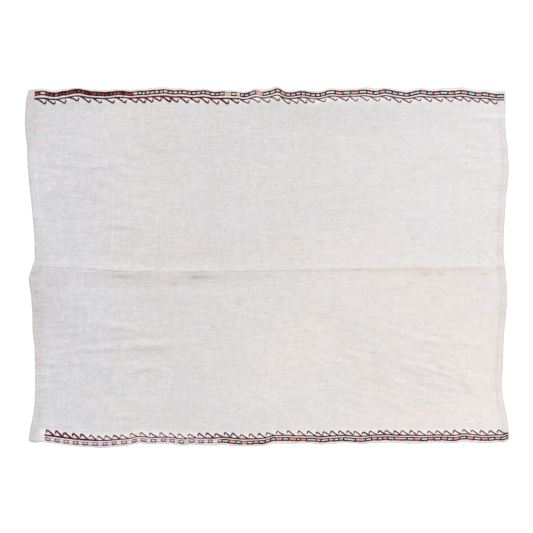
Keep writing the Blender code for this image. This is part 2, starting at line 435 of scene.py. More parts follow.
# One outer selvedge with its ornament. Its lines give the inset of the chain's middle from the selvedge,
# half the chain's width between its rails, and the drop of the hooks' base line from the chain's middle.
# Forward is the way that the hooks point, and gold lists the stretches where their tips are gold. Turning
# is where the cloth turns from its middle tint towards its warm one.
BORDER_LINES = "x inset half drop"
Border = namedtuple("Border", "name node start chain lines hooks first_hook forward reach gold turning")
BORDERS = (
    Border(
        name="upper",
        node="panel_upper",
        start=-938,
        chain=UPPER_CHAIN,
        lines=table(
            BORDER_LINES,
            (-980, 19.0, 6.7, 19.7),
            (-830, 18.5, 6.7, 19.7),
            (-770, 15.0, 6.8, 19.0),
            (-680, 18.0, 6.6, 17.6),
            (-600, 17.2, 6.5, 17.6),
            (-400, 18.0, 6.2, 18.3),
            (-300, 15.5, 6.0, 18.6),
            (-180, 16.3, 6.0, 18.6),
            (-70, 15.5, 6.0, 17.8),
            (22, 19.6, 6.0, 16.8),
            (60, 16.2, 6.0, 16.8),
            (100, 17.0, 6.0, 16.8),
            (152, 15.3, 6.0, 16.0),
            (230, 17.0, 5.9, 15.3),
            (370, 16.8, 5.9, 15.3),
            (425, 20.0, 6.0, 16.4),
            (480, 15.6, 6.0, 17.0),
            (570, 19.0, 6.0, 17.0),
            (660, 16.8, 6.0, 16.6),
            (720, 20.0, 6.0, 16.0),
            (980, 19.0, 6.0, 15.8),
        ),
        hooks=UPPER_HOOKS,
        first_hook=-936,
        forward=1,
        reach=39.5,
        gold=((-940, -890), (-290, -225), (-170, 96)),
        turning=-170,
    ),
    Border(
        name="lower",
        node="panel_lower",
        start=-897,
        chain=LOWER_CHAIN,
        lines=table(
            BORDER_LINES,
            (-980, 14.6, 5.7, 15.4),
            (-740, 12.8, 5.5, 15.4),
            (-620, 14.2, 5.4, 14.6),
            (-450, 13.4, 5.0, 13.2),
            (-300, 14.0, 5.0, 12.8),
            (-165, 16.8, 5.5, 14.4),
            (-100, 14.8, 5.3, 14.6),
            (-20, 14.3, 5.2, 14.6),
            (90, 18.0, 5.3, 14.6),
            (160, 14.8, 5.2, 14.6),
            (270, 16.4, 5.2, 14.6),
            (322, 13.2, 5.2, 14.6),
            (450, 16.9, 5.3, 14.8),
            (530, 15.8, 5.3, 14.8),
            (581, 18.0, 5.3, 14.8),
            (640, 15.3, 5.3, 14.6),
            (820, 16.3, 5.2, 14.6),
            (980, 15.0, 5.2, 14.6),
        ),
        hooks=LOWER_HOOKS,
        first_hook=-855,
        forward=-1,
        reach=34.0,
        gold=((-700, -510),),
        turning=-300,
    ),
)

# The chain across its width, as shares of half of it: the courses of filling and the ends of the rungs.
# Rails, rungs and courses begin a little in from a link's ends. Widths are shares of the yarn's.
COURSE_AT = 0.3
COURSE_WIDTH = 1.05
COURSE_INSET = 4.0 * MM
COURSE_PROUD = 0.15 * MM
RAIL_INSET = 1.0 * MM
RUNG_AT = 0.75
RUNG_INSET = 1.6 * MM
RUNG_WIDTH = 1.15
OUTLINE_PROUD = 0.35 * MM
CHAIN_STEP = 3.0 * MM

# How the links differ: their length as a share, how far one lies askew, and the shade of each of its
# lines
LINK_SPREAD = (0.87, 1.13)
LINK_JOG = 0.6 * MM
LINK_TONES = (0.1, 0.75)

# The base line: its points' steps, the stretches in which it keeps its shade, and how that differs from
# its run's
BASE_STEP = 3.0
BASE_STRETCH = 60.0
BASE_TONES = (-0.12, 0.12)

# How the hooks differ: how far a root may lie from its place, the shares of reach, depth and width, and
# the shade
ROOT_JITTER = 1.2
HOOK_REACH = (0.92, 1.08)
HOOK_DEPTH = (0.9, 1.1)
HOOK_WIDTH = (0.88, 1.06)
HOOK_TONES = (-0.15, 0.2)

# Knots of gold wool at the hooks' tips, of a few short wraps each
KNOT_WRAPS = 3
KNOT_HALF = 2.2 * MM
KNOT_WIDTH = 1.1
KNOT_TONES = (0.3, 0.8)
KNOT_PROUD = 0.7 * MM

# Wraps of yarn: their length as a share of the pitch, how much one's shade differs from its line's, and
# the steps in the seed for the draws of lean, width and shade
WRAP_LENGTH = 1.5
TONE_SPREAD = 0.16
LEAN_DRAW = 11
WIDTH_DRAW = 23
TONE_DRAW = 37

# Slubs of a strip: how many are drawn, how long they are, how far they run askew, their points, size and
# widths, how much their ends taper, how flat they lie, how far they stand proud and how far their shade
# differs
SLUBS = 460
SLUB_LENGTH = (16.0, 70.0)
SLUB_ASKEW = 0.03
SLUB_POINTS = 9
SLUB_RADIUS = 1.6 * MM
SLUB_WIDTHS = (0.5, 1.0)
SLUB_TIP = 0.15
SLUB_FLATNESS = 0.1
SLUB_PROUD = 0.1 * MM
SLUB_SHADE = 0.045
SLUB_TONES = (-1.0, 1.0)

# Where on the strip slubs may lie: along it, and how far from its edges
SLUB_SPAN = (-930.0, 900.0)
SLUB_FROM_SEAM = 14.0
SLUB_FROM_SELVEDGE = 64.0

# How far a wave of the selvedge carries into the cloth, and over what length the selvedge is evened out
# there
WAVE_KEPT_TO = 20.0 * MM
WAVE_FADE = 90.0 * MM
WAVE_FADE_MOST = 0.4
WAVE_WINDOW = 120.0 * MM

# Sewing: the yarn, the wraps' pitch, length, width and height, and their lean
Sewing = namedtuple("Sewing", "yarn pitch length width height lean")
SEWING = {
    "greyed": Sewing("grey_thread", 2.5, 4.4, 2.8, 1.0, 1.2),
    "lacing": Sewing("thread", 2.5, 5.0, 3.2, 1.0, 1.2),
    "browned": Sewing("tan_thread", 2.5, 4.6, 2.8, 1.0, 1.2),
    "running": Sewing("tan_thread", 9.0, 6.0, 1.2, 0.6, 0.05),
    "hem": Sewing("thread", 11.0, 6.0, 1.1, 0.8, 0.1),
    "overcast": Sewing("silver", 4.0, 4.5, 1.4, 1.2, 1.2),
}

# Rows of the seam's sewing: its kind, where it begins and ends, how far it lies from the upper strip's
# edge, and the range of its shades and of its widths
SEAM_ROWS = table(
    "name kind begin end shift tones widths",
    ("lacing_greyed", "greyed", -990, -540, 0.0, (0.3, 1.0), (0.55, 1.0)),
    ("lacing_natural", "lacing", -540, 93, 0.0, (0.4, 1.0), (0.8, 1.05)),
    ("lacing_browned", "browned", 93, 990, 0.0, (0.4, 1.0), (0.35, 0.85)),
    ("sewing", "running", 93, 990, -6.0, (0.1, 0.7), (0.7, 1.1)),
)

# How the seam's sewing lies: how far in from the strips' ends, how far proud of the edges that it joins,
# how far its yarn may lie aside, and the stretches in which it keeps its place, shade and width
SEWN_FROM_END = 2.0 * MM
SEWN_PROUD = 0.55 * MM
SEWN_ASIDE = 0.9
SEWN_STRETCH = (22.0, 60.0)
SEWN_STEP = 4.0 * MM

# Hem stitches: how far from the cut edge under them, from the seam and from the selvedge, and how they
# lie
HEM_STITCH_INSET = 3.0 * MM
HEM_STITCH_FROM_SEAM = 5.0 * MM
HEM_STITCH_FROM_SELVEDGE = 14.0 * MM
HEM_STITCH_STEP = 5.0 * MM
HEM_STITCH_TONE = 0.8
HEM_STITCH_WIDTH = 0.8
HEM_STITCH_PROUD = 0.05 * MM

# Selvedge stretches that are overcast in grey thread, and how it lies on them
OVERCAST = ((316, 519), (681, 802))
OVERCAST_INSET = 1.6 * MM
OVERCAST_TONE = 0.4
OVERCAST_PROUD = 0.1 * MM

# Patches of noise in the cloth's finish: their size along and across, how much finer detail they hold,
# and how far the noise is shifted so that no two kinds fall together
Patches = namedtuple("Patches", "along across detail shift")

# Grain of the hemp, and how far its patches lighten or darken the cloth
Grain = namedtuple("Grain", "patches amount")
HEMP_GRAIN = (
    Grain(Patches(260, 190, 2.0, 0.0), 0.06),
    Grain(Patches(80, 50, 2.0, 1.3), 0.06),
    Grain(Patches(24, 11, 1.0, 2.6), 0.15),
    Grain(Patches(80, 11, 0.0, 3.9), 0.065),
    Grain(Patches(11, 80, 0.0, 5.2), 0.06),
    Grain(Patches(8, 6, 0.0, 6.5), 0.13),
)

# Share of the grain's light and dark that red, green and blue each take, as the darker threads are the
# yellower
GRAIN_SHARES = (0.86, 0.97, 1.17)

# How strong the grain is at the left end and at the right end, where the cloth is worn smoother
GRAIN_LEFT = 1.25
GRAIN_RIGHT = 0.6

# Tints of the yarns, warmer or cooler than the rest. Green varies less than red and blue do.
HEMP_TINTS = (
    Grain(Patches(40, 26, 2.0, 6.0), 0.115),
    Grain(Patches(280, 180, 1.0, 7.7), 0.03),
)
TINT_OF_GREEN = 0.55

# How the cloth's tint turns along the strip, in metres: where the cool one ends, where the middle one
# starts, where the warm one is full, and how far these limits wander
# The warm tints are lighter as well: partly the cloth's uneven bleaching, partly painted light that
# brightens the right end
TINT_LEFT = -0.92
TINT_MIDDLE = -0.5
TINT_RIGHT = 0.95
TINT_WANDER = 0.36
WANDER_PATCHES = Patches(300, 240, 2.0, 3.1)

# Ragged patches in the marks, and their strength. The noise lies round a half, so less than 2 weakens a
# mark.
RAGGED_PATCHES = Patches(34, 12, 2.0, 8.3)
RAGGED_STRENGTH = 1.6

# How far the ornament's band is washed towards the palest tint, and folded edges and selvedges are greyed
# with painted shade
WASHED_SHARE = 0.42
FOLD_SHADE_SHARE = 0.3
FOLD_SHADE_TINT = "9A999E"

# Stains of the turned-under ends: the end's field, the stain's tint, its streaks, the noise from which it
# starts and at which it is full, and the least and the most of it
HEM_STAINS = table(
    "field tint streaks low high least most",
    ("end_left", "B5A797", Patches(70, 26, 2.0, 5.9), 0.35, 0.65, 0.1, 0.4),
    ("end_left", "6E5B4A", Patches(34, 5.5, 2.0, 5.9), 0.5, 0.68, 0.0, 0.2),
    ("end_right", "D0C1B8", Patches(60, 30, 2.0, 5.9), 0.35, 0.65, 0.1, 0.5),
    ("end_right", "97877C", Patches(26, 5.5, 2.0, 5.9), 0.52, 0.7, 0.0, 0.12),
)

# Dark neps spun into the thread: how far apart they may lie, how wide each is, the shares of that at
# which it begins and ends to fade, how much longer than wide it is, the share of them that stays hidden,
# and how dark the darkest are
NEP_APART = 15.0
NEP_RADIUS = 2.4
NEP_FADING = (0.5, 1.3)
NEP_STRETCH = 3.6
NEP_HIDDEN = 0.9
NEP_STRENGTH = 0.32
NEP_TINT = "8E8078"

# Thread spacing. The real threads lie about 2 mm apart, finer than a pixel of the picture, so the weave
# is drawn with each thread standing for two, which just shows as grain. The slubs in it stand higher than
# the threads.
THREAD_ALONG = 9.0
THREAD_ACROSS = 4.5
SLUB_PATCHES = Patches(26, 9, 2.0, 2.2)
SLUB_RISE = 5.0

# The floor, which reaches past the picture on all sides and lies just below the cloth
FLOOR_HALF = 20.0
FLOOR_HEIGHT = -0.2 * MM

# Start of the random draws, and how far on in them the hooks and the sewing begin
SEED = 20
HOOK_SEEDS = 50
SEWING_SEEDS = 80

# Inputs of the two trees, beside the lines that they follow: wraps of yarn, and slubs
TREE_INPUT = "name kind value"
WRAP_INPUTS = table(
    TREE_INPUT,
    ("Pitch", "Float", 3.3 * MM),
    ("Wrap Length", "Float", 5.0 * MM),
    ("Wrap Width", "Float", 3.0 * MM),
    ("Wrap Height", "Float", 1.7 * MM),
    ("Lean", "Float", 0.4),
    ("Unevenness", "Float", 0.2),
    ("Seed", "Int", 0),
    ("Yarn", "Material", None),
)
SLUB_INPUTS = table(
    TREE_INPUT,
    ("Radius", "Float", 0.9 * MM),
    ("Flatness", "Float", 0.5),
    ("Thread", "Material", None),
)

# Short names of the nodes that the trees use most
MATH = "ShaderNodeMath"
VECTOR_MATH = "ShaderNodeVectorMath"
MIX = "ShaderNodeMix"
RANGE = "ShaderNodeMapRange"
ATTRIBUTE = "ShaderNodeAttribute"
NAMED = "GeometryNodeInputNamedAttribute"


class RugClothSettings(PropertyGroup):
    """Sizes and colours of the hemp cloth."""

    thickness: FloatProperty(
        name="Thickness",
        description="Thickness of one layer of the cloth",
        default=1.7 * MM,
        min=0.5 * MM,
        max=3.0 * MM,
        unit="LENGTH",
    )
    hem_left: FloatProperty(
        name="Left hem",
        description="How far the left end is turned under",
        default=27.0 * MM,
        unit="LENGTH",
    )
    hem_right: FloatProperty(
        name="Right hem",
        description="How far the right end is turned under",
        default=20.0 * MM,
        unit="LENGTH",
    )
    mesh_step: FloatProperty(
        name="Mesh step",
        description="Distance between the points of the cloth's mesh",
        default=6.1 * MM,
        min=5.0 * MM,
        unit="LENGTH",
    )
    unevenness: FloatProperty(
        name="Unevenness",
        description="How strongly the cloth swells and sinks between its creases",
        default=1.0,
        min=0.0,
        max=3.0,
        subtype="FACTOR",
    )
    cool: FloatVectorProperty(
        name="Cool hemp",
        description="Colour of the cloth at its left end",
        default=linear("C5C4C8"),
        size=3,
        subtype="COLOR",
    )
    middle: FloatVectorProperty(
        name="Grey hemp",
        description="Colour of the cloth in the middle of its length",
        default=linear("C8C6C6"),
        size=3,
        subtype="COLOR",
    )
    # The right end's colours are lighter partly by painted light that brightens that end
    warm_upper: FloatVectorProperty(
        name="Pale hemp",
        description="Colour of the upper strip at its right end",
        default=linear("D4D1D1"),
        size=3,
        subtype="COLOR",
    )
    warm_lower: FloatVectorProperty(
        name="Warm hemp",
        description="Colour of the lower strip at its right end",
        default=linear("D6D0CD"),
        size=3,
        subtype="COLOR",
    )
    washed: FloatVectorProperty(
        name="Washed hemp",
        description="Colour that the cloth nears beside the wool, where it is washed palest",
        default=linear("F0EDEB"),
        size=3,
        subtype="COLOR",
    )


class RugOrnamentSettings(PropertyGroup):
    """Sizes of the wool ornament and of the sewing."""

    pitch: FloatProperty(
        name="Stitch pitch",
        description="Distance from one wrap of yarn to the next",
        default=3.3 * MM,
        min=2.0 * MM,
        unit="LENGTH",
    )
    width: FloatProperty(
        name="Yarn width",
        description="Width of a row of wraps",
        default=3.7 * MM,
        unit="LENGTH",
    )
    height: FloatProperty(
        name="Yarn height",
        description="Thickness of a row of wraps",
        default=1.7 * MM,
        unit="LENGTH",
    )
    lean: FloatProperty(
        name="Lean",
        description="Angle between a wrap and its row",
        default=math.radians(24.0),
        subtype="ANGLE",
    )
    unevenness: FloatProperty(
        name="Unevenness",
        description="How much the wraps differ in size and lean",
        default=0.18,
        min=0.0,
        max=1.0,
        subtype="FACTOR",
    )
    seed: IntProperty(
        name="Seed",
        description="Start of the chain's and the hooks' random draws",
        default=SEED,
    )


class RugStageSettings(PropertyGroup):
    """Camera, lights and floor."""

    view_x: FloatProperty(
        name="View X",
        description="Point of the floor in the middle of the picture, along the rug",
        default=-1.8 * MM,
        unit="LENGTH",
    )
    view_y: FloatProperty(
        name="View Y",
        description="Point of the floor in the middle of the picture, across the rug",
        default=2.0 * MM,
        unit="LENGTH",
    )
    view_width: FloatProperty(
        name="View width",
        description="Width of the floor that the picture takes in",
        default=2158.7 * MM,
        unit="LENGTH",
    )
    lens: FloatProperty(
        name="Lens",
        description="Focal length in millimetres",
        default=85.0,
        min=35.0,
    )
    sky: FloatProperty(
        name="Room light",
        description="Strength of the even light from the white room",
        default=0.78,
        min=0.0,
    )
    key: FloatProperty(
        name="Key light",
        description="Strength of the soft light from the upper right",
        default=2.05,
        min=0.0,
    )
    key_height: FloatProperty(
        name="Key height",
        description="Angle of the soft light above the floor",
        default=math.radians(42.0),
        subtype="ANGLE",
    )
    key_turn: FloatProperty(
        name="Key direction",
        description="Where the soft light comes from, from +X towards +Y",
        default=math.radians(62.0),
        subtype="ANGLE",
    )
    key_softness: FloatProperty(
        name="Key softness",
        description="Angle that the soft light takes up in the room",
        default=math.radians(40.0),
        subtype="ANGLE",
    )
    floor: FloatVectorProperty(
        name="Floor",
        description="Colour of the floor",
        default=linear("FDFDFD"),
        size=3,
        subtype="COLOR",
    )


def bell(t):
    """A smooth hump, 1 at t = 0 and level at 0 from t = 1 on, for a number or an array."""
    return 0.5 * (1.0 + np.cos(np.pi * np.clip(t, -1.0, 1.0)))


def through(points, key):
    """Height at key of a smooth curve through (key, height) points, which rise in key."""
    i = min(max(bisect_right(points, (key,)) - 1, 0), len(points) - 2)
    (k0, h0), (k1, h1) = points[i], points[i + 1]
    slopes = []
    for k in (i, i + 1):
        before, after = points[max(k - 1, 0)], points[min(k + 1, len(points) - 1)]
        slopes.append((after[1] - before[1]) / (after[0] - before[0]))
    span, rise = k1 - k0, h1 - h0
    t = min(max((key - k0) / span, 0.0), 1.0)
    bend = (slopes[0] * span - rise) * (1.0 - t) + (rise - slopes[1] * span) * t
    return h0 + rise * t + t * (1.0 - t) * bend


def rim_loop(mesh):
    """The upper rim of a solid, as points in order round it."""
    bm = bmesh.new()
    bm.from_mesh(mesh)
    bmesh.ops.remove_doubles(bm, verts=bm.verts, dist=WELD)
    bm.normal_update()
    bm.verts.index_update()
    beside = {}
    for edge in bm.edges:
        tilts = sorted(face.normal.z for face in edge.link_faces)
        if len(tilts) == 2 and abs(tilts[0]) < UPRIGHT and tilts[1] > LEVEL:
            a, b = (vert.index for vert in edge.verts)
            beside.setdefault(a, []).append(b)
            beside.setdefault(b, []).append(a)
    start = min(beside)
    loop = [start, beside[start][0]]
    while loop[-1] != start:
        a, b = beside[loop[-1]]
        loop.append(b if a == loop[-2] else a)
    bm.verts.ensure_lookup_table()
    points = [bm.verts[k].co.copy() for k in loop[:-1]]
    bm.free()
    return points


def stretch(loop, first, last, corners):
    """The points of a closed loop between two corners, by the way round that passes no other corner."""
    for step in (1, -1):
        found = [first]
        while found[-1] != last:
            found.append((found[-1] + step) % len(loop))
        if set(corners).isdisjoint(found[1:-1]):
            return [loop[k] for k in found]
    raise RuntimeError("the solid's outline has no four corners")


def lookup_line(points):
    """A smooth curve through (key, place) points, sampled closely for looking up."""
    rising = sorted(points)
    keys = np.arange(rising[0][0], rising[-1][0] + LINE_STEP, LINE_STEP)
    return keys, np.array([through(rising, key) for key in keys])


class StripPlan:
    """One strip in plan, read from its solid: seam and selvedge as Y by X, and the two ends as X by Y."""

    def __init__(self, node):
        self.mesh = frame["nodes"][node].data
        loop = rim_loop(self.mesh)
        self.out = math.copysign(1.0, sum(p.y for p in loop))

        def corner(end, side):
            return max(range(len(loop)), key=lambda k: end * loop[k].x + side * self.out * loop[k].y)

        corners = [corner(end, side) for end in (-1, 1) for side in (-1, 1)]
        inner_left, outer_left, inner_right, outer_right = corners

        def side(first, last):
            return stretch(loop, first, last, corners)

        self.seam = lookup_line([(p.x, p.y) for p in side(inner_left, inner_right)])
        self.selvedge = lookup_line([(p.x, p.y) for p in side(outer_left, outer_right)])
        ys, xs = lookup_line([(p.y, p.x) for p in side(inner_left, outer_left)])
        bend = CORNER_BENDS[node]
        self.left = ys, xs + bend.along * MM * bell((ys - self.seam[1][0]) / (bend.reach * MM))
        self.right = lookup_line([(p.y, p.x) for p in side(inner_right, outer_right)])
        count = round(WAVE_WINDOW / LINE_STEP)
        padded = np.pad(self.selvedge[1], count // 2, mode="edge")
        evened = np.convolve(padded, np.ones(count) / count, mode="same")
        self.calm = self.selvedge[0], evened[count // 2 :][: len(self.selvedge[0])]

    def from_ends(self, x, y):
        """How far in places lie from the left end and from the right one."""
        return x - np.interp(y, *self.left), np.interp(y, *self.right) - x

    def border_y(self, x, inset):
        """Y of the line that lies inset from the selvedge at x. The selvedge's waves fade on the way in."""
        fade = np.clip((inset - WAVE_KEPT_TO) / WAVE_FADE, 0.0, WAVE_FADE_MOST)
        edge = (1.0 - fade) * np.interp(x, *self.selvedge) + fade * np.interp(x, *self.calm)
        return edge - self.out * inset


@cache
def plan_of(node):
    """The plan of a strip, read once."""
    return StripPlan(node)


class Ground:
    """Height of a solid's underside, read on a lattice in plan and smoothed."""

    def __init__(self, mesh):
        corners = [vert.co.copy() for vert in mesh.vertices]
        faces = [tuple(face.vertices) for face in mesh.polygons]
        tree = BVHTree.FromPolygons(corners, faces)
        under = [tuple(face.vertices) for face in mesh.polygons if face.normal.z < -LEVEL]
        nearest = BVHTree.FromPolygons(corners, under)
        low = np.min(corners, axis=0) - 2 * GROUND_STEP
        high = np.max(corners, axis=0) + 2 * GROUND_STEP
        self.low = low
        self.count = [int((high[i] - low[i]) / GROUND_STEP) + 2 for i in (0, 1)]
        heights = np.zeros(self.count)
        for i, j in np.ndindex(*self.count):
            x, y = low[0] + i * GROUND_STEP, low[1] + j * GROUND_STEP
            hit = tree.ray_cast(Vector((x, y, -1.0)), Vector((0.0, 0.0, 1.0)))[0]
            if hit is None:
                hit = nearest.find_nearest(Vector((x, y, 0.0)))[0]
            heights[i, j] = hit.z
        for _ in range(GROUND_PASSES):
            for axis in (0, 1):
                padded = np.pad(heights, [(1, 1) if axis == k else (0, 0) for k in (0, 1)], mode="edge")
                ahead, behind = (padded[2:], padded[:-2]) if axis == 0 else (padded[:, 2:], padded[:, :-2])
                heights = heights / 2 + (ahead + behind) / 4
        self.heights = heights

    def at(self, x, y):
        """Heights at arrays of places."""
        u = np.clip((x - self.low[0]) / GROUND_STEP, 0, self.count[0] - 1)
        v = np.clip((y - self.low[1]) / GROUND_STEP, 0, self.count[1] - 1)
        i = np.minimum(u.astype(int), self.count[0] - 2)
        j = np.minimum(v.astype(int), self.count[1] - 2)
        s, t = u - i, v - j
        near = self.heights[i, j] * (1 - s) + self.heights[i + 1, j] * s
        far = self.heights[i, j + 1] * (1 - s) + self.heights[i + 1, j + 1] * s
        return near * (1 - t) + far * t


def uneven(u, v, layer):
    """Smooth noise round a half, at arrays of places in one layer of it."""
    values = [noise.noise(Vector((a, b, layer))) for a, b in zip(u.flat, v.flat)]
    return np.reshape(values, u.shape) + 0.5


def turned(dx, dy, degrees):
    """How far places lie along a direction, and how far across it."""
    turn = math.radians(degrees)
    return dx * math.cos(turn) + dy * math.sin(turn), dy * math.cos(turn) - dx * math.sin(turn)


def relief(plan, x, y, unevenness):
    """Height that creases, seam, puckers, ripples and swells add, at arrays of places."""
    height = np.zeros_like(x)
    for crease in CREASES:
        along, across = turned(x / MM - crease.x, y / MM - crease.y, crease.turn)
        height += crease.height * MM * bell(along / crease.half_length) * bell(across / crease.half_width)
    from_seam = np.abs(y - np.interp(x, *plan.seam))
    if plan.out > 0:
        height += SEAM_ROLL * bell(from_seam / SEAM_ROLL_HALF)
    for rise in SEAM_RISES:
        along = bell((x / MM - rise.x) / rise.half_length)
        height += rise.height * MM * along * bell(from_seam / (rise.half_width * MM))
    drawn = bell(np.minimum(*plan.from_ends(x, y)) / PUCKER_REACH)
    folds = uneven(y / PUCKERS_APART, np.copysign(PUCKER_END, x), PUCKER_LAYER)
    height += PUCKER_HEIGHT * drawn * folds
    for ripple in RIPPLES:
        dx, dy = x / MM - ripple.x, y / MM - ripple.y
        along, across = turned(dx, dy, ripple.turn)
        part = bell(dx / ripple.half_length) * bell(dy / ripple.half_width)
        folds = uneven(along / ripple.along, across / ripple.across, ripple.layer)
        height += ripple.height * MM * part * folds
    for swell in SWELLS:
        patches = uneven(x * (1.0 / (swell.along * MM)), y * (1.0 / (swell.across * MM)), swell.layer)
        height += unevenness * swell.height * MM * patches
    return height


def hem_stations(depth, thickness, mesh_step):
    """One turned-under end, from the cut edge under the cloth, round the fold and back over the hem.

    Each station is its distance in from the end, its height, and the way its face looks.
    """
    bend = (thickness + HEM_GAP) / 2
    axis = bend + thickness / 2
    under = thickness / 2
    stations = [(d, under, 0.0, -1.0) for d in np.linspace(depth, axis, FLAP_POINTS)]
    for t in np.linspace(0.0, math.pi, FOLD_POINTS)[1:-1]:
        sine, cosine = math.sin(t), math.cos(t)
        stations.append((axis - bend * sine, under + bend - bend * cosine, -sine, -cosine))
    level = np.linspace(axis, depth - HEM_LEVEL_END, max(3, round(depth / mesh_step)))
    slope = depth + np.linspace(0.0, 1.0, HEM_SLOPE_POINTS) * HEM_SLOPE
    for d in (*level, *slope):
        down = float(bell(min(max((d - depth) / HEM_SLOPE, 0.0), 1.0)))
        stations.append((d, under + 2 * bend * down, 0.0, 1.0))
    return stations


def lengthwise(cloth, length):
    """All stations of a strip, from the cut edge of its left hem to that of its right one."""
    left = hem_stations(cloth.hem_left, cloth.thickness, cloth.mesh_step)
    right = hem_stations(cloth.hem_right, cloth.thickness, cloth.mesh_step)
    stations = [Station(0.0, d, 0.0, rise, fx, fz) for d, rise, fx, fz in left]
    reach_left, reach_right = left[-1][0], right[-1][0]
    count = round((length - reach_left - reach_right) / cloth.mesh_step)
    for k in range(1, count):
        stations.append(Station(k / count, reach_left, reach_right, cloth.thickness / 2, 0.0, 1.0))
    stations += [Station(1.0, 0.0, d, rise, -fx, fz) for d, rise, fx, fz in reversed(right)]
    return np.array(stations)


def crosswise(cloth, width):
    """All rows of a strip from seam to selvedge: share of the way, insets, and share of the thickness."""
    rows = [(0.0, row.inset * MM, 0.0, row.thickness) for row in EDGE_ROWS]
    last = EDGE_ROWS[-1].inset * MM
    count = round((width - 2 * last) / cloth.mesh_step)
    rows += [(k / count, last, last, 1.0) for k in range(1, count)]
    rows += [(1.0, 0.0, row.inset * MM, row.thickness) for row in reversed(EDGE_ROWS)]
    return np.array(rows)


def grid_faces(columns, rows, first):
    """Four-sided faces of a grid of points that starts at index first."""
    start = first + (np.arange(columns - 1)[:, None] * rows + np.arange(rows - 1)[None, :]).ravel()
    return np.stack([start, start + rows, start + rows + 1, start + 1], axis=1)


def grid_outline(columns, rows):
    """Indexes round the outside of a grid, in order."""
    index = np.arange(columns * rows).reshape(columns, rows)
    return np.concatenate([index[:, 0], index[-1, 1:], index[-2::-1, -1], index[0, -2:0:-1]])


def marks_at(kind, x, y):
    """How strongly the marks of one kind show, at arrays of places."""
    strength = np.zeros_like(x)
    for mark in MARKS:
        if mark.kind == kind:
            away = np.hypot((x / MM - mark.x) / mark.along, (y / MM - mark.y) / mark.across)
            strength = np.maximum(strength, mark.strength * bell(away))
    return strength


def worn(depth, wear):
    """How much of an end's wear shows at these distances in."""
    inner = bell(np.maximum(depth / MM - wear.fading, 0.0) / (wear.end - wear.fading))
    return inner * np.interp(depth / MM, (0.0, wear.full), (wear.at_fold, 1.0))


def store_wear_and_shade(mesh, plan):
    """Stores how worn and marked the strip is at each point of a mesh on it, and where painted shade darkens
    its folded edges, for the cloth's material.
    """
    places = np.zeros(3 * len(mesh.vertices))
    mesh.vertices.foreach_get("co", places)
    x, y = places[0::3], places[1::3]
    in_from_left, in_from_right = plan.from_ends(x, y)
    from_end = np.minimum(in_from_left, in_from_right)
    heights = [row.y * MM for row in END_WEAR]
    worn_left = np.interp(y, heights, [row.left for row in END_WEAR])
    worn_right = np.interp(y, heights, [row.right for row in END_WEAR])
    inset = np.abs(np.interp(x, *plan.selvedge) - y)
    edge = np.minimum(np.minimum(in_from_left, FOLD_SHADE_NEARER * in_from_right), inset)
    washed = np.where(inset > WASHED_TO, bell((inset - WASHED_TO) / (WASHED_END - WASHED_TO)), 1.0)
    fields = {
        "end_left": worn_left * worn(in_from_left, WEAR_LEFT),
        "end_right": worn_right * worn(in_from_right, WEAR_RIGHT),
        # Painted shade along the folded ends and the outer selvedges, where they round down
        "fold": bell(edge / FOLD_SHADE_REACH),
        "washed": washed * np.clip((from_end - WASHED_FROM_END) / WASHED_FROM_END, 0.0, 1.0),
    }
    fields.update((kind, marks_at(kind, x, y)) for kind in MARK_TINTS)
    for field, values in fields.items():
        mesh.attributes.new(field, "FLOAT", "POINT").data.foreach_set("value", values.astype(np.float32))


def strip_skins(plan, cloth):
    """The points of a strip's face and of its back, each as a grid from seam to selvedge along the strip."""
    x_span = plan.seam[0][-1] - plan.seam[0][0]
    y_span = abs(np.mean(plan.selvedge[1]) - np.mean(plan.seam[1]))
    stations, rows = lengthwise(cloth, x_span), crosswise(cloth, y_span)
    share, from_left, from_right, rise, face_x, face_z = stations.T[:, :, None]
    way, from_seam, from_selvedge, thickness = rows.T[:, None, :]
    x = np.zeros((len(stations), len(rows)))
    y = np.full(x.shape, np.mean(plan.seam[1]) + plan.out * y_span / 2)
    for _ in range(PLACING_PASSES):
        left, right = np.interp(y, *plan.left), np.interp(y, *plan.right)
        x = (1.0 - share) * (left + from_left) + share * (right - from_right)
        seam, selvedge = np.interp(x, *plan.seam), np.interp(x, *plan.selvedge)
        y = (1.0 - way) * (seam + plan.out * from_seam) + way * (selvedge - plan.out * from_selvedge)
    floor = np.maximum(Ground(plan.mesh).at(x, y) + relief(plan, x, y, cloth.unevenness), 0.0)
    half = cloth.thickness / 2 * thickness
    face, back = (
        np.stack([x + side * face_x * half, y, floor + rise + side * face_z * half], axis=2)
        for side in (1.0, -1.0)
    )
    return face, back


def closed_sheet(name, face, back):
    """A closed mesh from two grids of points: the face, the back and the rim between them."""
    columns, rows = face.shape[:2]
    single = columns * rows
    rim = grid_outline(columns, rows)
    ahead = np.roll(rim, -1)
    points = np.concatenate([face.reshape(-1, 3), back.reshape(-1, 3)])
    faces = np.concatenate(
        [
            grid_faces(columns, rows, 0),
            grid_faces(columns, rows, single)[:, ::-1],
            np.stack([rim, rim + single, ahead + single, ahead], axis=1),
        ]
    )
    mesh = bpy.data.meshes.new(name)
    mesh.from_pydata(points.tolist(), [], faces.tolist())
    bm = bmesh.new()
    bm.from_mesh(mesh)
    bmesh.ops.recalc_face_normals(bm, faces=bm.faces)
    bm.to_mesh(mesh)
    bm.free()
    mesh.shade_smooth()
    return mesh


def add(tree, kind, inputs=None, **settings):
    """Adds a node with its settings. An input gets a value, or a link from a node or one of its outputs."""
    node = tree.nodes.new(kind)
    for name, value in settings.items():
        setattr(node, name, value)
    for key, value in (inputs or {}).items():
        if isinstance(value, bpy.types.Node):
            value = value.outputs[0]
        if isinstance(value, bpy.types.NodeSocket):
            tree.links.new(value, node.inputs[key])
        else:
            node.inputs[key].default_value = value
    return node


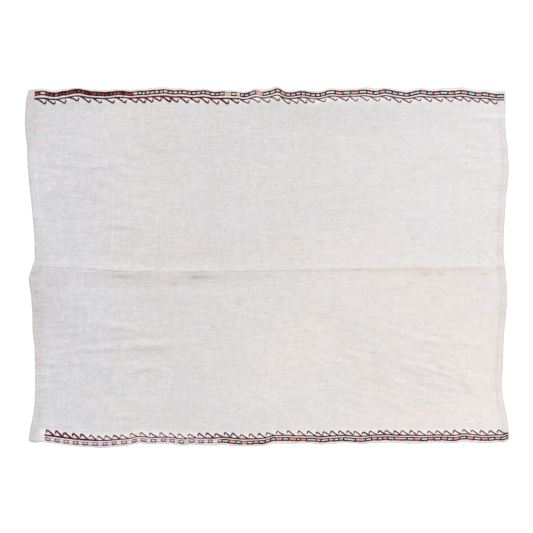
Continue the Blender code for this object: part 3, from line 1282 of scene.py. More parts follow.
def grain(tree, place, patches):
    """Noise in patches of a given size, round a half."""
    scale = (1.0 / (patches.along * MM), 1.0 / (patches.across * MM), 1.0)
    shift = (patches.shift, patches.shift, 0.0)
    spot = add(tree, "ShaderNodeMapping", {"Vector": place, "Location": shift, "Scale": scale})
    settings = {"Vector": spot, "Scale": 1.0, "Detail": patches.detail, "Roughness": 0.55}
    return add(tree, "ShaderNodeTexNoise", settings, noise_dimensions="2D")


def new_material(name, roughness, sheen, specular):
    """A material with the settings that are the same all over it, and its tree and shader."""
    material = bpy.data.materials.new(name)
    material.use_nodes = True
    shader = material.node_tree.nodes["Principled BSDF"]
    shader.inputs["Roughness"].default_value = roughness
    shader.inputs["Sheen Weight"].default_value = sheen
    shader.inputs["Sheen Roughness"].default_value = 0.6
    shader.inputs["Specular IOR Level"].default_value = specular
    return material, material.node_tree, shader


def hemp_tint(tree, place, x, cloth, warm, turning):
    """The hemp's tint, which turns from cool by grey to warm and lighter along the strip: partly the cloth's
    uneven bleaching and partly painted light that brightens the right end.
    """
    # The noise lies round a half, so half the wander is taken off again
    wander = add(tree, MATH, {0: grain(tree, place, WANDER_PATCHES), 1: TINT_WANDER}, operation="MULTIPLY")
    centred = add(tree, MATH, {0: x, 1: TINT_WANDER / 2}, operation="SUBTRACT")
    along = add(tree, MATH, {0: centred, 1: wander})
    greyed = add(tree, RANGE, {0: along, 1: TINT_LEFT, 2: TINT_MIDDLE}, interpolation_type="SMOOTHSTEP")
    warmed = add(tree, RANGE, {0: along, 1: turning, 2: TINT_RIGHT})
    grey = add(tree, MIX, {0: greyed, 6: (*cloth.cool, 1.0), 7: (*cloth.middle, 1.0)}, data_type="RGBA")
    return add(tree, MIX, {0: warmed, 6: grey.outputs[2], 7: (*warm, 1.0)}, data_type="RGBA").outputs[2]


def hemp_coats(tree, place, cloth):
    """What lies over the hemp's tint, from the first on: the share of each coat, and its tint. Besides
    stains and washing, these hold painted light and shade by the seam and at the folded edges.
    """
    patches = grain(tree, place, RAGGED_PATCHES)
    ragged = add(tree, MATH, {0: patches, 1: RAGGED_STRENGTH}, operation="MULTIPLY")
    # Marks: mostly stains, with painted highlight and painted shade by the seam
    for kind, tint in MARK_TINTS.items():
        strength = add(tree, ATTRIBUTE, attribute_name=kind).outputs["Fac"]
        yield add(tree, MATH, {0: strength, 1: ragged}, operation="MULTIPLY"), linear(tint)
    beside_wool = add(tree, ATTRIBUTE, attribute_name="washed").outputs["Fac"]
    yield add(tree, MATH, {0: beside_wool, 1: WASHED_SHARE}, operation="MULTIPLY"), cloth.washed
    for stain in HEM_STAINS:
        near_end = add(tree, ATTRIBUTE, attribute_name=stain.field).outputs["Fac"]
        limits = {1: stain.low, 2: stain.high, 3: stain.least, 4: stain.most}
        streaks = add(tree, RANGE, {0: grain(tree, place, stain.streaks), **limits})
        in_hem = add(tree, MATH, {0: near_end, 1: streaks}, operation="MULTIPLY", use_clamp=True)
        yield in_hem, linear(stain.tint)
    # Painted shade: the folded ends and the outer selvedges are greyed where they round down
    at_fold = add(tree, ATTRIBUTE, attribute_name="fold").outputs["Fac"]
    yield add(tree, MATH, {0: at_fold, 1: FOLD_SHADE_SHARE}, operation="MULTIPLY"), linear(FOLD_SHADE_TINT)


def hemp_neps(tree, place):
    """The share of the dark neps."""
    thread = add(tree, "ShaderNodeMapping", {"Vector": place, "Scale": (1.0 / NEP_STRETCH, 1.0, 1.0)})
    cells = {"Vector": thread, "Scale": 1.0 / (NEP_APART * MM)}
    spots = add(tree, "ShaderNodeTexVoronoi", cells, voronoi_dimensions="2D").outputs
    full, gone = (share * NEP_RADIUS / NEP_APART for share in NEP_FADING)
    near = add(tree, RANGE, {0: spots["Distance"], 1: full, 2: gone, 3: 1.0, 4: 0.0})
    draw = add(tree, "ShaderNodeSeparateColor", {0: spots["Color"]}).outputs
    chosen = add(tree, MATH, {0: draw["Red"], 1: NEP_HIDDEN}, operation="GREATER_THAN")
    shown = add(tree, MATH, {0: near, 1: chosen}, operation="MULTIPLY")
    darkness = add(tree, MATH, {0: draw["Green"], 1: NEP_STRENGTH}, operation="MULTIPLY")
    return add(tree, MATH, {0: shown, 1: darkness}, operation="MULTIPLY")


def hemp_light(tree, place, x):
    """How much light the grain and the slubs leave in red, green and blue, round 1."""
    # Each kind of patches lies round its own half, so the sum of the halves is taken off
    patches = -sum(layer.amount for layer in HEMP_GRAIN) / 2
    for layer in HEMP_GRAIN:
        patch = grain(tree, place, layer.patches)
        patches = add(tree, MATH, {0: patch, 1: layer.amount, 2: patches}, operation="MULTIPLY_ADD")
    strong = add(tree, RANGE, {0: x, 1: TINT_LEFT, 2: TINT_RIGHT, 3: GRAIN_LEFT, 4: GRAIN_RIGHT})
    light = add(tree, MATH, {0: patches, 1: strong, 2: 1.0}, operation="MULTIPLY_ADD")
    thick = add(tree, ATTRIBUTE, attribute_name="tone").outputs["Fac"]
    light = add(tree, MATH, {0: thick, 1: -SLUB_SHADE, 2: light}, operation="MULTIPLY_ADD")
    shades = {0: light, 1: GRAIN_SHARES, 2: tuple(1.0 - share for share in GRAIN_SHARES)}
    return add(tree, VECTOR_MATH, shades, operation="MULTIPLY_ADD")


def hemp_weave(tree, place, x, y):
    """The bump of the plain weave, with its slubs."""
    turn_x = add(tree, MATH, {0: x, 1: math.pi / (THREAD_ALONG * MM)}, operation="MULTIPLY")
    turn_y = add(tree, MATH, {0: y, 1: math.pi / (THREAD_ACROSS * MM)}, operation="MULTIPLY")
    over = add(tree, MATH, {0: turn_x}, operation="SINE")
    under = add(tree, MATH, {0: turn_y}, operation="SINE")
    weave = add(tree, MATH, {0: over, 1: under}, operation="MULTIPLY")
    slubs = grain(tree, place, SLUB_PATCHES)
    height = add(tree, MATH, {0: slubs, 1: SLUB_RISE, 2: weave}, operation="MULTIPLY_ADD")
    return add(tree, "ShaderNodeBump", {"Strength": 0.14, "Distance": 0.35 * MM, "Height": height})


def hemp_material(name, cloth, warm, turning):
    """Handspun hemp, plain woven and washed pale.

    Matt and a little fuzzy, with slubs that run along the strip, lavender grey at one end and paler and
    warmer at the other, partly by painted light that brightens that end. The turning is where along the
    strip it leaves its middle tint.
    """
    material, tree, shader = new_material(name, roughness=0.9, sheen=0.06, specular=0.25)
    place = add(tree, "ShaderNodeTexCoord").outputs["Object"]
    x, y = add(tree, "ShaderNodeSeparateXYZ", {0: place}).outputs[:2]
    colour = hemp_tint(tree, place, x, cloth, warm, turning)
    for share, tint in hemp_coats(tree, place, cloth):
        colour = add(tree, MIX, {0: share, 6: colour, 7: (*tint, 1.0)}, data_type="RGBA").outputs[2]
    for layer in HEMP_TINTS:
        patch = grain(tree, place, layer.patches).outputs["Color"]
        most = Vector((layer.amount, TINT_OF_GREEN * layer.amount, layer.amount))
        level = Vector((1.0, 1.0, 1.0)) - most / 2
        tint = add(tree, VECTOR_MATH, {0: patch, 1: tuple(most), 2: tuple(level)}, operation="MULTIPLY_ADD")
        colour = add(tree, VECTOR_MATH, {0: colour, 1: tint}, operation="MULTIPLY")
    neps = {0: hemp_neps(tree, place), 6: colour, 7: (*linear(NEP_TINT), 1.0)}
    colour = add(tree, MIX, neps, data_type="RGBA").outputs[2]
    lit = add(tree, VECTOR_MATH, {0: colour, 1: hemp_light(tree, place, x)}, operation="MULTIPLY")
    tree.links.new(lit.outputs[0], shader.inputs["Base Color"])
    tree.links.new(hemp_weave(tree, place, x, y).outputs[0], shader.inputs["Normal"])
    return material


def yarn_material(yarn):
    """Handspun yarn: matt and fuzzy, with a shade for each wrap and fine fibres along it."""
    material, tree, shader = new_material(yarn.name, roughness=0.92, sheen=0.0, specular=0.06)
    place = add(tree, "ShaderNodeTexCoord").outputs["Object"]
    tone = add(tree, ATTRIBUTE, attribute_name="tone").outputs["Fac"]
    shades = {0: tone, 6: (*linear(yarn.deep), 1.0), 7: (*linear(yarn.faded), 1.0)}
    colour = add(tree, MIX, shades, data_type="RGBA")
    tree.links.new(colour.outputs[2], shader.inputs["Base Color"])
    # Fibres are about 0.03 mm across, and are drawn ten times as coarse
    fibres = add(tree, "ShaderNodeTexNoise", {"Vector": place, "Scale": 1.0 / (0.3 * MM), "Detail": 1.0})
    bump = add(tree, "ShaderNodeBump", {"Strength": 0.4, "Distance": 0.15 * MM, "Height": fibres.outputs[0]})
    tree.links.new(bump.outputs[0], shader.inputs["Normal"])
    return material


def new_tree(name, inputs):
    """A Geometry Nodes tree that turns lines into a mesh, and the sockets of its named inputs."""
    tree = bpy.data.node_groups.new(name, "GeometryNodeTree")
    tree.interface.new_socket("Geometry", in_out="OUTPUT", socket_type="NodeSocketGeometry")
    tree.interface.new_socket("Geometry", in_out="INPUT", socket_type="NodeSocketGeometry")
    for wanted in inputs:
        kind = f"NodeSocket{wanted.kind}"
        socket = tree.interface.new_socket(wanted.name, in_out="INPUT", socket_type=kind)
        if wanted.value is not None:
            socket.default_value = wanted.value
    return tree, add(tree, "NodeGroupInput").outputs


def end_tree(tree, geometry, smooth, material):
    """Ends a tree: what it made becomes one mesh, shaded smooth or not, with its material."""
    real = add(tree, "GeometryNodeRealizeInstances", {"Geometry": geometry})
    shaded = add(tree, "GeometryNodeSetShadeSmooth", {"Geometry": real, "Shade Smooth": smooth})
    finished = add(tree, "GeometryNodeSetMaterial", {"Geometry": shaded, "Material": material})
    add(tree, "NodeGroupOutput", {0: finished})
    return tree


def wrapped_yarn_tree():
    """Geometry Nodes: wraps of yarn set one after another along lines.

    The lines' own attributes are tone, the shade of the yarn, and width, its share of the full width.
    """
    tree, given = new_tree("wrapped yarn", WRAP_INPUTS)

    def jitter(seed_step, most):
        """A draw for each wrap, from -most to most."""
        seed = add(tree, MATH, {0: given["Seed"], 1: seed_step})
        return add(tree, "FunctionNodeRandomValue", {2: -most, 3: most, "Seed": seed}).outputs[1]

    curve = add(tree, "GeometryNodeMeshToCurve", {"Mesh": given["Geometry"]})
    marks = add(tree, "GeometryNodeResampleCurve", {"Curve": curve, "Length": given["Pitch"]}, mode="LENGTH")

    round_wrap = add(tree, "GeometryNodeMeshUVSphere", {"Segments": 6, "Rings": 4, "Radius": 0.5})
    lying = add(tree, "GeometryNodeTransform", {"Geometry": round_wrap, "Rotation": (0.0, math.pi / 2, 0.0)})
    lengths = {"X": given["Wrap Length"], "Y": given["Wrap Width"], "Z": given["Wrap Height"]}
    size = add(tree, "ShaderNodeCombineXYZ", lengths)
    wrap = add(tree, "GeometryNodeTransform", {"Geometry": lying, "Scale": size})

    align = "FunctionNodeAlignRotationToVector"
    tangent = add(tree, "GeometryNodeInputTangent")
    level = add(tree, align, {"Vector": tangent}, axis="X", pivot_axis="Z")
    sloped = add(tree, align, {"Rotation": level, "Vector": tangent}, axis="X", pivot_axis="Y")
    uneven_lean = {0: jitter(LEAN_DRAW, 1.0), 1: given["Unevenness"]}
    aside = add(tree, MATH, uneven_lean, operation="MULTIPLY")
    lean = add(tree, MATH, {0: given["Lean"], 1: aside})
    about_up = add(tree, "FunctionNodeAxisAngleToRotation", {"Axis": (0.0, 0.0, 1.0), "Angle": lean})
    turns = {"Rotation": sloped, "Rotate By": about_up}
    leaning = add(tree, "FunctionNodeRotateRotation", turns, rotation_space="LOCAL")

    width = add(tree, NAMED, {"Name": "width"}, data_type="FLOAT")
    uneven_width = {0: jitter(WIDTH_DRAW, 1.0), 1: given["Unevenness"], 2: 1.0}
    spread = add(tree, MATH, uneven_width, operation="MULTIPLY_ADD")
    full = add(tree, MATH, {0: width, 1: spread}, operation="MULTIPLY")
    places = {"Points": marks, "Instance": wrap, "Rotation": leaning, "Scale": full}
    wraps = add(tree, "GeometryNodeInstanceOnPoints", places)

    tone = add(tree, NAMED, {"Name": "tone"}, data_type="FLOAT")
    shade = add(tree, MATH, {0: tone, 1: jitter(TONE_DRAW, TONE_SPREAD)}, use_clamp=True)
    stored = {"Geometry": wraps, "Name": "tone", "Value": shade}
    shaded = add(tree, "GeometryNodeStoreNamedAttribute", stored, data_type="FLOAT", domain="INSTANCE")
    return end_tree(tree, shaded, True, given["Yarn"])


def slub_tree():
    """Geometry Nodes: thick places of the thread, as flat strands that taper to both ends, along lines."""
    tree, given = new_tree("slubs", SLUB_INPUTS)
    curve = add(tree, "GeometryNodeMeshToCurve", {"Mesh": given["Geometry"]})
    upright = add(tree, "GeometryNodeSetCurveNormal", {"Curve": curve}, mode="Z_UP")
    profile = add(tree, "GeometryNodeCurvePrimitiveCircle", {"Resolution": 5, "Radius": given["Radius"]})
    squash = add(tree, "ShaderNodeCombineXYZ", {"X": 1.0, "Y": given["Flatness"], "Z": 1.0})
    flat = add(tree, "GeometryNodeTransform", {"Geometry": profile, "Scale": squash})
    along = add(tree, "GeometryNodeSplineParameter").outputs["Factor"]
    half_turn = add(tree, MATH, {0: along, 1: math.pi}, operation="MULTIPLY")
    swell = add(tree, MATH, {0: half_turn}, operation="SINE")
    width = add(tree, NAMED, {"Name": "width"}, data_type="FLOAT")
    taper = add(tree, MATH, {0: swell, 1: 1.0 - SLUB_TIP, 2: SLUB_TIP}, operation="MULTIPLY_ADD")
    scale = add(tree, MATH, {0: taper, 1: width}, operation="MULTIPLY")
    shapes = {"Curve": upright, "Profile Curve": flat, "Scale": scale, "Fill Caps": True}
    strands = add(tree, "GeometryNodeCurveToMesh", shapes)
    # Shaded flat, so that their tops take the light as the cloth round them does
    return end_tree(tree, strands, False, given["Thread"])


def worked(name, guide, tree, values):
    """The mesh that a tree makes along the guide's lines, as a finished piece of the rug."""
    obj = bpy.data.objects.new(name, guide.mesh(name))
    bpy.context.scene.collection.objects.link(obj)
    modifier = obj.modifiers.new("yarn", "NODES")
    modifier.node_group = tree
    sockets = {item.name: item.identifier for item in tree.interface.items_tree if item.in_out == "INPUT"}
    for key, value in values.items():
        modifier[sockets[key]] = value
    depsgraph = bpy.context.evaluated_depsgraph_get()
    final = obj.evaluated_get(depsgraph)
    mesh = bpy.data.meshes.new_from_object(final, preserve_all_data_layers=True, depsgraph=depsgraph)
    obj.modifiers.clear()
    obj.data = mesh
    mesh.name = name
    if not mesh.polygons:
        raise RuntimeError(f"{name} came out empty")
    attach(obj, "root")
    return obj


def cloth_name(border):
    """The name of a border's strip of cloth."""
    return f"cloth_{border.name}"


@cache
def cloth_tree(name):
    """A finished strip, ready to be asked where a line meets it."""
    mesh = bpy.data.objects[name].data
    corners = [vert.co.copy() for vert in mesh.vertices]
    return BVHTree.FromPolygons(corners, [tuple(face.vertices) for face in mesh.polygons])


class Guide:
    """Lines that one yarn follows on the strips of some borders, each line with a tone and a width."""

    def __init__(self, *borders):
        self.trees = [cloth_tree(cloth_name(border)) for border in borders]
        self.points, self.edges, self.tones, self.widths = [], [], [], []

    def height(self, x, y):
        """Height of the top of the cloth, or of its nearest edge beside it."""
        hits = [tree.ray_cast(Vector((x, y, 1.0)), Vector((0.0, 0.0, -1.0)))[0] for tree in self.trees]
        heights = [hit.z for hit in hits if hit is not None]
        if heights:
            return max(heights)
        nearest = [tree.find_nearest(Vector((x, y, 0.0))) for tree in self.trees]
        return min(nearest, key=lambda found: found[3])[0].z

    def line(self, places, tone, width=1.0, proud=0.3 * MM):
        """Adds a line through (x, y) places, laid on the cloth with its middle standing proud of it."""
        first = len(self.points)
        for x, y in places:
            self.points.append((x, y, self.height(x, y) + proud))
            self.tones.append(tone)
            self.widths.append(width)
        self.edges += [(k, k + 1) for k in range(first, len(self.points) - 1)]

    def mesh(self, name):
        """The lines as edges, with their tones and widths stored on them."""
        mesh = bpy.data.meshes.new(name)
        mesh.from_pydata(self.points, self.edges, [])
        for field, values in (("tone", self.tones), ("width", self.widths)):
            mesh.attributes.new(field, "FLOAT", "POINT").data.foreach_set("value", values)
        return mesh


def spaced(start, end, step):
    """Even steps from start to end, both included."""
    return np.linspace(start, end, max(2, round(abs(end - start) / step) + 1))


def yarn_tree():
    """The tree of wraps, built once."""
    return bpy.data.node_groups.get("wrapped yarn") or wrapped_yarn_tree()


def yarn_finish(key):
    """A yarn's material, built once."""
    yarn = YARNS[key]
    return bpy.data.materials.get(yarn.name) or yarn_material(yarn)


def wrap_values(ornament, yarn, seed, changes=None):
    """Inputs of the tree of wraps for one yarn."""
    return {
        "Pitch": ornament.pitch,
        "Wrap Length": ornament.pitch * WRAP_LENGTH,
        "Wrap Width": ornament.width,
        "Wrap Height": ornament.height,
        "Lean": ornament.lean,
        "Unevenness": ornament.unevenness,
        "Seed": seed,
        "Yarn": yarn_finish(yarn),
        **(changes or {}),
    }


def work_yarns(part, border, guides, ornament, seed):
    """Works one part of a border's ornament, with a piece for each yarn."""
    for k, (yarn, guide) in enumerate(sorted(guides.items())):
        worked(f"{part}_{border.name}_{yarn}", guide, yarn_tree(), wrap_values(ornament, yarn, seed + k))


def sewn(name, guide, kind, ornament):
    """A row of stitches along the guide's lines."""
    sewing = SEWING[kind]
    changes = {
        "Pitch": sewing.pitch * MM,
        "Wrap Length": sewing.length * MM,
        "Wrap Width": sewing.width * MM,
        "Wrap Height": sewing.height * MM,
        "Lean": sewing.lean,
    }
    seed = ornament.seed + SEWING_SEEDS + list(SEWING).index(kind)
    worked(name, guide, yarn_tree(), wrap_values(ornament, sewing.yarn, seed, changes))


def border_line(border, column):
    """One column of a border's lines, as (x, distance) points in metres."""
    return [(point.x * MM, getattr(point, column) * MM) for point in border.lines]


def chain_point(border, x, across):
    """A place on the chain: x along it, and across as a share of half its width, up towards the cloth."""
    half = through(border_line(border, "half"), x)
    inset = through(border_line(border, "inset"), x)
    return x, float(plan_of(border.node).border_y(x, inset + across * half))


def hook_point(border, x, down):
    """A place among the hooks: x along the selvedge, and down from the base line towards the cloth."""
    base = through(border_line(border, "inset"), x) + through(border_line(border, "drop"), x)
    return x, float(plan_of(border.node).border_y(x, base + down))


def link_ends(border, rng):
    """Start, end and kind of each link of the chain, from left to right."""
    links, at = [], border.start
    for run in border.chain:
        count = max(1, round((run.end - at) / run.link))
        weights = [rng.uniform(*LINK_SPREAD) for _ in range(count)]
        begin, span = at, run.end - at
        for k, weight in enumerate(weights):
            end = begin + span * weight / sum(weights)
            links.append((begin * MM, end * MM, run.kinds[k % len(run.kinds)]))
            begin = end
        at = run.end
    return links


class RUG_OT_set_stage(Operator):
    """Set the camera straight above the rug, the floor and the lights"""

    bl_idname = "rug.set_stage"
    bl_label = "Set the stage"

    def execute(self, context):
        stage = context.scene.rug_stage
        data = bpy.data.cameras.new("camera")
        data.lens = stage.lens
        data.clip_end = 50.0
        camera = bpy.data.objects.new("camera", data)
        distance = stage.view_width * data.lens / data.sensor_width
        camera.location = (stage.view_x, stage.view_y, distance)
        context.scene.collection.objects.link(camera)
        context.scene.camera = camera

        mesh = bpy.data.meshes.new("floor")
        signs = ((-1, -1), (1, -1), (1, 1), (-1, 1))
        corners = [(FLOOR_HALF * x, FLOOR_HALF * y, FLOOR_HEIGHT) for x, y in signs]
        mesh.from_pydata(corners, [], [(0, 1, 2, 3)])
        # White studio floor paint, rolled on, which shows no grain from here
        finish = {"roughness": 0.95, "sheen": 0.0, "specular": 0.1}
        paint, _, shader = new_material("studio floor paint, rolled", **finish)
        shader.inputs["Base Color"].default_value = (*stage.floor, 1.0)
        mesh.materials.append(paint)
        floor = bpy.data.objects.new("floor", mesh)
        context.scene.collection.objects.link(floor)

        world = bpy.data.worlds.new("white room")
        world.use_nodes = True
        air = world.node_tree.nodes["Background"].inputs
        air["Color"].default_value = (1.0, 1.0, 1.0, 1.0)
        air["Strength"].default_value = stage.sky
        context.scene.world = world

        light = bpy.data.lights.new("key", "SUN")
        light.energy = stage.key
        light.angle = stage.key_softness
        key = bpy.data.objects.new("key", light)
        level = math.cos(stage.key_height)
        towards = Vector(
            (level * math.cos(stage.key_turn), level * math.sin(stage.key_turn), math.sin(stage.key_height))
        )
        key.rotation_euler = towards.to_track_quat("Z", "Y").to_euler()
        context.scene.collection.objects.link(key)
        context.scene.view_settings.view_transform = "Standard"
        return {"FINISHED"}


class RUG_OT_lay_strips(Operator):
    """Lay the two strips of hemp cloth, with their hems and creases"""

    bl_idname = "rug.lay_strips"
    bl_label = "Lay the strips"

    def execute(self, context):
        cloth = context.scene.rug_cloth
        # What was read from strips that lay here before no longer holds
        cloth_tree.cache_clear()
        warm = {"upper": cloth.warm_upper, "lower": cloth.warm_lower}
        for border in BORDERS:
            # Two lengths off the loom, washed pale, of which the lower one is the warmer
            name = f"handspun hemp, {border.name} length"
            material = hemp_material(name, cloth, warm[border.name], border.turning * MM)
            plan = plan_of(border.node)
            mesh = closed_sheet(cloth_name(border), *strip_skins(plan, cloth))
            store_wear_and_shade(mesh, plan)
            mesh.materials.append(material)
            strip = bpy.data.objects.new(cloth_name(border), mesh)
            context.scene.collection.objects.link(strip)
            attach(strip, "root")
            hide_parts(border.node)
            frame["record"]["materials"][0]["slot"]
        return {"FINISHED"}


class RUG_OT_sew(Operator):
    """Lace the seam, stitch the hems down and overcast the worn stretches of selvedge"""

    bl_idname = "rug.sew"
    bl_label = "Sew the seam and the hems"

    def execute(self, context):
        ornament = context.scene.rug_ornament
        self.lace_seam(ornament)
        for border in BORDERS:
            self.stitch_hems(border, context.scene.rug_cloth, ornament)
        self.overcast(BORDERS[0], ornament)
        return {"FINISHED"}

    def lace_seam(self, ornament):
        """The rows of sewing along the seam, in stretches that lie and look a little apart."""
        rng = random.Random(f"seam {ornament.seed}")
        seam = plan_of(BORDERS[0].node).seam
        low, high = seam[0][0] + SEWN_FROM_END, seam[0][-1] - SEWN_FROM_END
        for row in SEAM_ROWS:
            guide = Guide(*BORDERS)
            at, end = max(row.begin * MM, low), min(row.end * MM, high)
            while at < end:
                stop = min(at + rng.uniform(*SEWN_STRETCH) * MM, end)
                shift = (row.shift + rng.uniform(-SEWN_ASIDE, SEWN_ASIDE)) * MM
                places = [(x, float(np.interp(x, *seam)) + shift) for x in spaced(at, stop, SEWN_STEP)]
                guide.line(places, rng.uniform(*row.tones), rng.uniform(*row.widths), SEWN_PROUD)
                at = stop
            sewn(f"seam_{row.name}", guide, row.kind, ornament)

    def stitch_hems(self, border, cloth, ornament):
        """The stitches that hold both turned-under ends of a strip."""
        plan = plan_of(border.node)
        guide = Guide(border)
        inner = float(np.interp(0.0, *plan.seam)) + plan.out * HEM_STITCH_FROM_SEAM
        outer = float(np.interp(0.0, *plan.selvedge)) - plan.out * HEM_STITCH_FROM_SELVEDGE
        from_left, from_right = cloth.hem_left - HEM_STITCH_INSET, HEM_STITCH_INSET - cloth.hem_right
        for end, shift in ((plan.left, from_left), (plan.right, from_right)):
            places = [(float(np.interp(y, *end)) + shift, y) for y in spaced(inner, outer, HEM_STITCH_STEP)]
            guide.line(places, HEM_STITCH_TONE, HEM_STITCH_WIDTH, HEM_STITCH_PROUD)
        sewn(f"hem_stitches_{border.name}", guide, "hem", ornament)

    def overcast(self, border, ornament):
        """The thread wound round the worn stretches of a selvedge."""
        plan = plan_of(border.node)
        guide = Guide(border)
        for begin, end in OVERCAST:
            xs = spaced(begin * MM, end * MM, SEWN_STEP)
            places = [(x, float(plan.border_y(x, OVERCAST_INSET))) for x in xs]
            guide.line(places, OVERCAST_TONE, proud=OVERCAST_PROUD)
        sewn("selvedge_overcast", guide, "overcast", ornament)


class RUG_OT_work_chain(Operator):
    """Work the chain of coloured links along both outer selvedges"""

    bl_idname = "rug.work_chain"
    bl_label = "Work the chain"

    def execute(self, context):
        ornament = context.scene.rug_ornament
        for border in BORDERS:
            rng = random.Random(f"chain {border.name} {ornament.seed}")
            guides = defaultdict(partial(Guide, border))
            for begin, end, kind in link_ends(border, rng):
                self.work_link(guides, border, begin, end, LINKS[kind], rng)
            work_yarns("chain", border, guides, ornament, ornament.seed)
        return {"FINISHED"}

    def work_link(self, guides, border, begin, end, link, rng):
        """One link from its begin to its end: two rails, two rungs and two courses of filling."""
        half = through(border_line(border, "half"), begin)
        jog = rng.uniform(-LINK_JOG, LINK_JOG) / half

        def line(yarn, places, width, proud=OUTLINE_PROUD):
            points = [chain_point(border, x, across + jog) for x, across in places]
            guides[yarn].line(points, rng.uniform(*LINK_TONES), width, proud)

        rail = spaced(begin + RAIL_INSET, end - RAIL_INSET, CHAIN_STEP)
        for side in (-1.0, 1.0):
            line(link.outline, [(x, side) for x in rail], link.rail)
        rung = spaced(-RUNG_AT * half, RUNG_AT * half, CHAIN_STEP) / half
        for x in (begin + RUNG_INSET, end - RUNG_INSET):
            line(link.outline, [(x, across) for across in rung], RUNG_WIDTH)
        course = spaced(begin + COURSE_INSET, end - COURSE_INSET, CHAIN_STEP)
        for side, yarn in ((-COURSE_AT, link.outer), (COURSE_AT, link.inner)):
            line(yarn, [(x, side) for x in course], COURSE_WIDTH, COURSE_PROUD)


class RUG_OT_work_hooks(Operator):
    """Work the base line and its row of hooks inside both chains"""

    bl_idname = "rug.work_hooks"
    bl_label = "Work the hooks"

    def execute(self, context):
        ornament = context.scene.rug_ornament
        for border in BORDERS:
            rng = random.Random(f"hooks {border.name} {ornament.seed}")
            guides = defaultdict(partial(Guide, border))
            self.work_base(guides, border, ornament, rng)
            at = border.first_hook
            for run in border.hooks:
                count = round((run.end - at) / run.pitch)
                for root in np.linspace(at, run.end, count, endpoint=False):
                    root += rng.uniform(-ROOT_JITTER, ROOT_JITTER)
                    self.work_hook(guides, border, root, run, ornament, rng)
                at = run.end
            work_yarns("hooks", border, guides, ornament, ornament.seed + HOOK_SEEDS)
        return {"FINISHED"}

    def work_base(self, guides, border, ornament, rng):
        """The base line, in stretches that differ a little in shade."""
        at = border.start
        for run in border.hooks:
            stop = border.chain[-1].end if run is border.hooks[-1] else run.end
            for first in np.arange(at, stop, BASE_STRETCH):
                last = min(first + BASE_STRETCH, stop)
                places = [hook_point(border, x * MM, 0.0) for x in spaced(first, last, BASE_STEP)]
                tone = run.fading + rng.uniform(*BASE_TONES)
                guides[run.yarn].line(places, tone, run.width * MM / ornament.width)
            at = stop

    def work_hook(self, guides, border, root, run, ornament, rng):
        """One hook from its root on the base line, with a knot at its tip where those are gold."""
        reach = border.reach * rng.uniform(*HOOK_REACH)
        depth = run.depth * rng.uniform(*HOOK_DEPTH)
        places = []
        for point in HOOK_STROKE:
            x = (root + border.forward * point.along * reach) * MM
            places.append(hook_point(border, x, point.down * depth * MM))
        width = run.width * MM / ornament.width * rng.uniform(*HOOK_WIDTH)
        guides[run.yarn].line(places, run.fading + rng.uniform(*HOOK_TONES), width)
        tip = root + border.forward * reach
        if any(low <= tip <= high for low, high in border.gold):
            self.work_knot(guides["gold"], border, tip * MM, HOOK_STROKE[-1].down * depth * MM, rng)

    def work_knot(self, guide, border, x, down, rng):
        """A knot at a hook's tip, of short wraps that lie across each other."""
        for _ in range(KNOT_WRAPS):
            turn = rng.uniform(0.0, math.pi)
            dx, dy = KNOT_HALF * math.cos(turn), KNOT_HALF * math.sin(turn)
            ends = [hook_point(border, x + side * dx, down + side * dy) for side in (-1, 1)]
            guide.line(ends, rng.uniform(*KNOT_TONES), KNOT_WIDTH, KNOT_PROUD)


class RUG_OT_lay_slubs(Operator):
    """Lay the slubs, the thick places of the handspun hemp, over both strips"""

    bl_idname = "rug.lay_slubs"
    bl_label = "Lay the slubs"

    def execute(self, context):
        ornament = context.scene.rug_ornament
        tree = slub_tree()
        for border in BORDERS:
            rng = random.Random(f"slubs {border.name} {ornament.seed}")
            plan = plan_of(border.node)
            guide = Guide(border)
            for _ in range(SLUBS):
                self.lay_slub(guide, plan, rng)
            cloth = bpy.data.objects[cloth_name(border)].data.materials[0]
            values = {"Radius": SLUB_RADIUS, "Flatness": SLUB_FLATNESS, "Thread": cloth}
            slubs = worked(f"slubs_{border.name}", guide, tree, values)
            store_wear_and_shade(slubs.data, plan)
        return {"FINISHED"}

    def lay_slub(self, guide, plan, rng):
        """One slub somewhere on the strip, unless it would fall by the seam or in the ornament."""
        length = rng.uniform(*SLUB_LENGTH) * MM
        x = rng.uniform(*SLUB_SPAN) * MM
        seam, selvedge = (float(np.interp(x, *line)) for line in (plan.seam, plan.selvedge))
        y = seam + (selvedge - seam) * rng.random()
        if abs(y - seam) < SLUB_FROM_SEAM * MM or abs(y - selvedge) < SLUB_FROM_SELVEDGE * MM:
            return
        askew = rng.uniform(-SLUB_ASKEW, SLUB_ASKEW)
        places = [(x + step, y + step * askew) for step in np.linspace(0.0, length, SLUB_POINTS)]
        guide.line(places, rng.uniform(*SLUB_TONES), rng.uniform(*SLUB_WIDTHS), SLUB_PROUD)


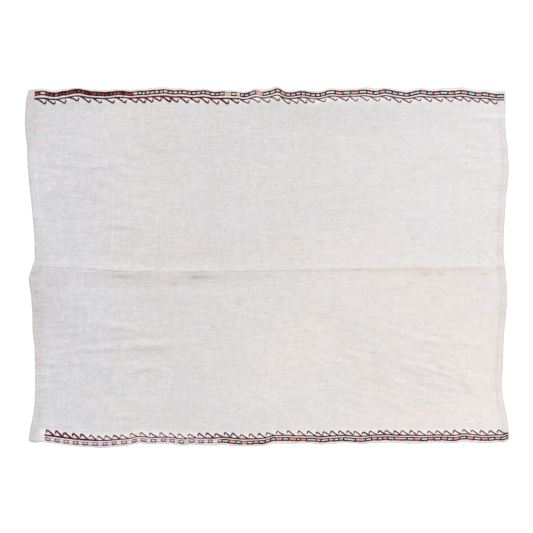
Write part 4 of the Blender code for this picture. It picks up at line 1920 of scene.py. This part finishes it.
class RUG_PT_panel(Panel):
    """The rug's sizes, colours and steps in the 3D view's sidebar"""

    bl_idname = "RUG_PT_panel"
    bl_label = "Hemp rug"
    bl_space_type = "VIEW_3D"
    bl_region_type = "UI"
    bl_category = "Rug"

    def draw(self, context):
        layout = self.layout
        for step in STEPS:
            layout.operator(step.bl_idname)
        for group in SETTINGS:
            settings = getattr(context.scene, group)
            box = layout.box()
            for name in settings.bl_rna.properties.keys():
                if name not in ("rna_type", "name"):
                    box.prop(settings, name)


STEPS = (
    RUG_OT_set_stage,
    RUG_OT_lay_strips,
    RUG_OT_sew,
    RUG_OT_work_chain,
    RUG_OT_work_hooks,
    RUG_OT_lay_slubs,
)
SETTINGS = {
    "rug_cloth": RugClothSettings,
    "rug_ornament": RugOrnamentSettings,
    "rug_stage": RugStageSettings,
}


def register():
    """Adds the settings, the operators and the panel to Blender."""
    for group in SETTINGS.values():
        bpy.utils.register_class(group)
    for step in (*STEPS, RUG_PT_panel):
        bpy.utils.register_class(step)
    for name, group in SETTINGS.items():
        setattr(bpy.types.Scene, name, PointerProperty(type=group))


def unregister():
    """Takes them away again."""
    for name in SETTINGS:
        delattr(bpy.types.Scene, name)
    for step in (RUG_PT_panel, *reversed(STEPS)):
        bpy.utils.unregister_class(step)
    for group in SETTINGS.values():
        bpy.utils.unregister_class(group)


def declare_sheets():
    """Works out the size that each strip was cut to and the pieces worked on it, but does nothing with them.
    """
    cloth = bpy.context.scene.rug_cloth
    for border in BORDERS:
        plan = plan_of(border.node)
        length = plan.seam[0][-1] - plan.seam[0][0] + cloth.hem_left + cloth.hem_right
        width = float(abs(np.mean(plan.selvedge[1]) - np.mean(plan.seam[1])))
        pieces = [obj for obj in bpy.data.objects if obj.type == "MESH" and f"_{border.name}" in obj.name]
        pieces = [obj for obj in pieces if obj.name != cloth_name(border) and "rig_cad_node" not in obj]
        if border is BORDERS[0]:
            shared = [*(f"seam_{row.name}" for row in SEAM_ROWS), "selvedge_overcast"]
            pieces += [bpy.data.objects[name] for name in shared]
        bpy.data.objects[cloth_name(border)]


def main():
    """Registers the classes, makes the rug and its stage, and works out the strips' sizes."""
    register()
    bpy.ops.rug.set_stage()
    bpy.ops.rug.lay_strips()
    bpy.ops.rug.sew()
    bpy.ops.rug.work_chain()
    bpy.ops.rug.work_hooks()
    bpy.ops.rug.lay_slubs()
    declare_sheets()


if __name__ == "__main__":
    main()
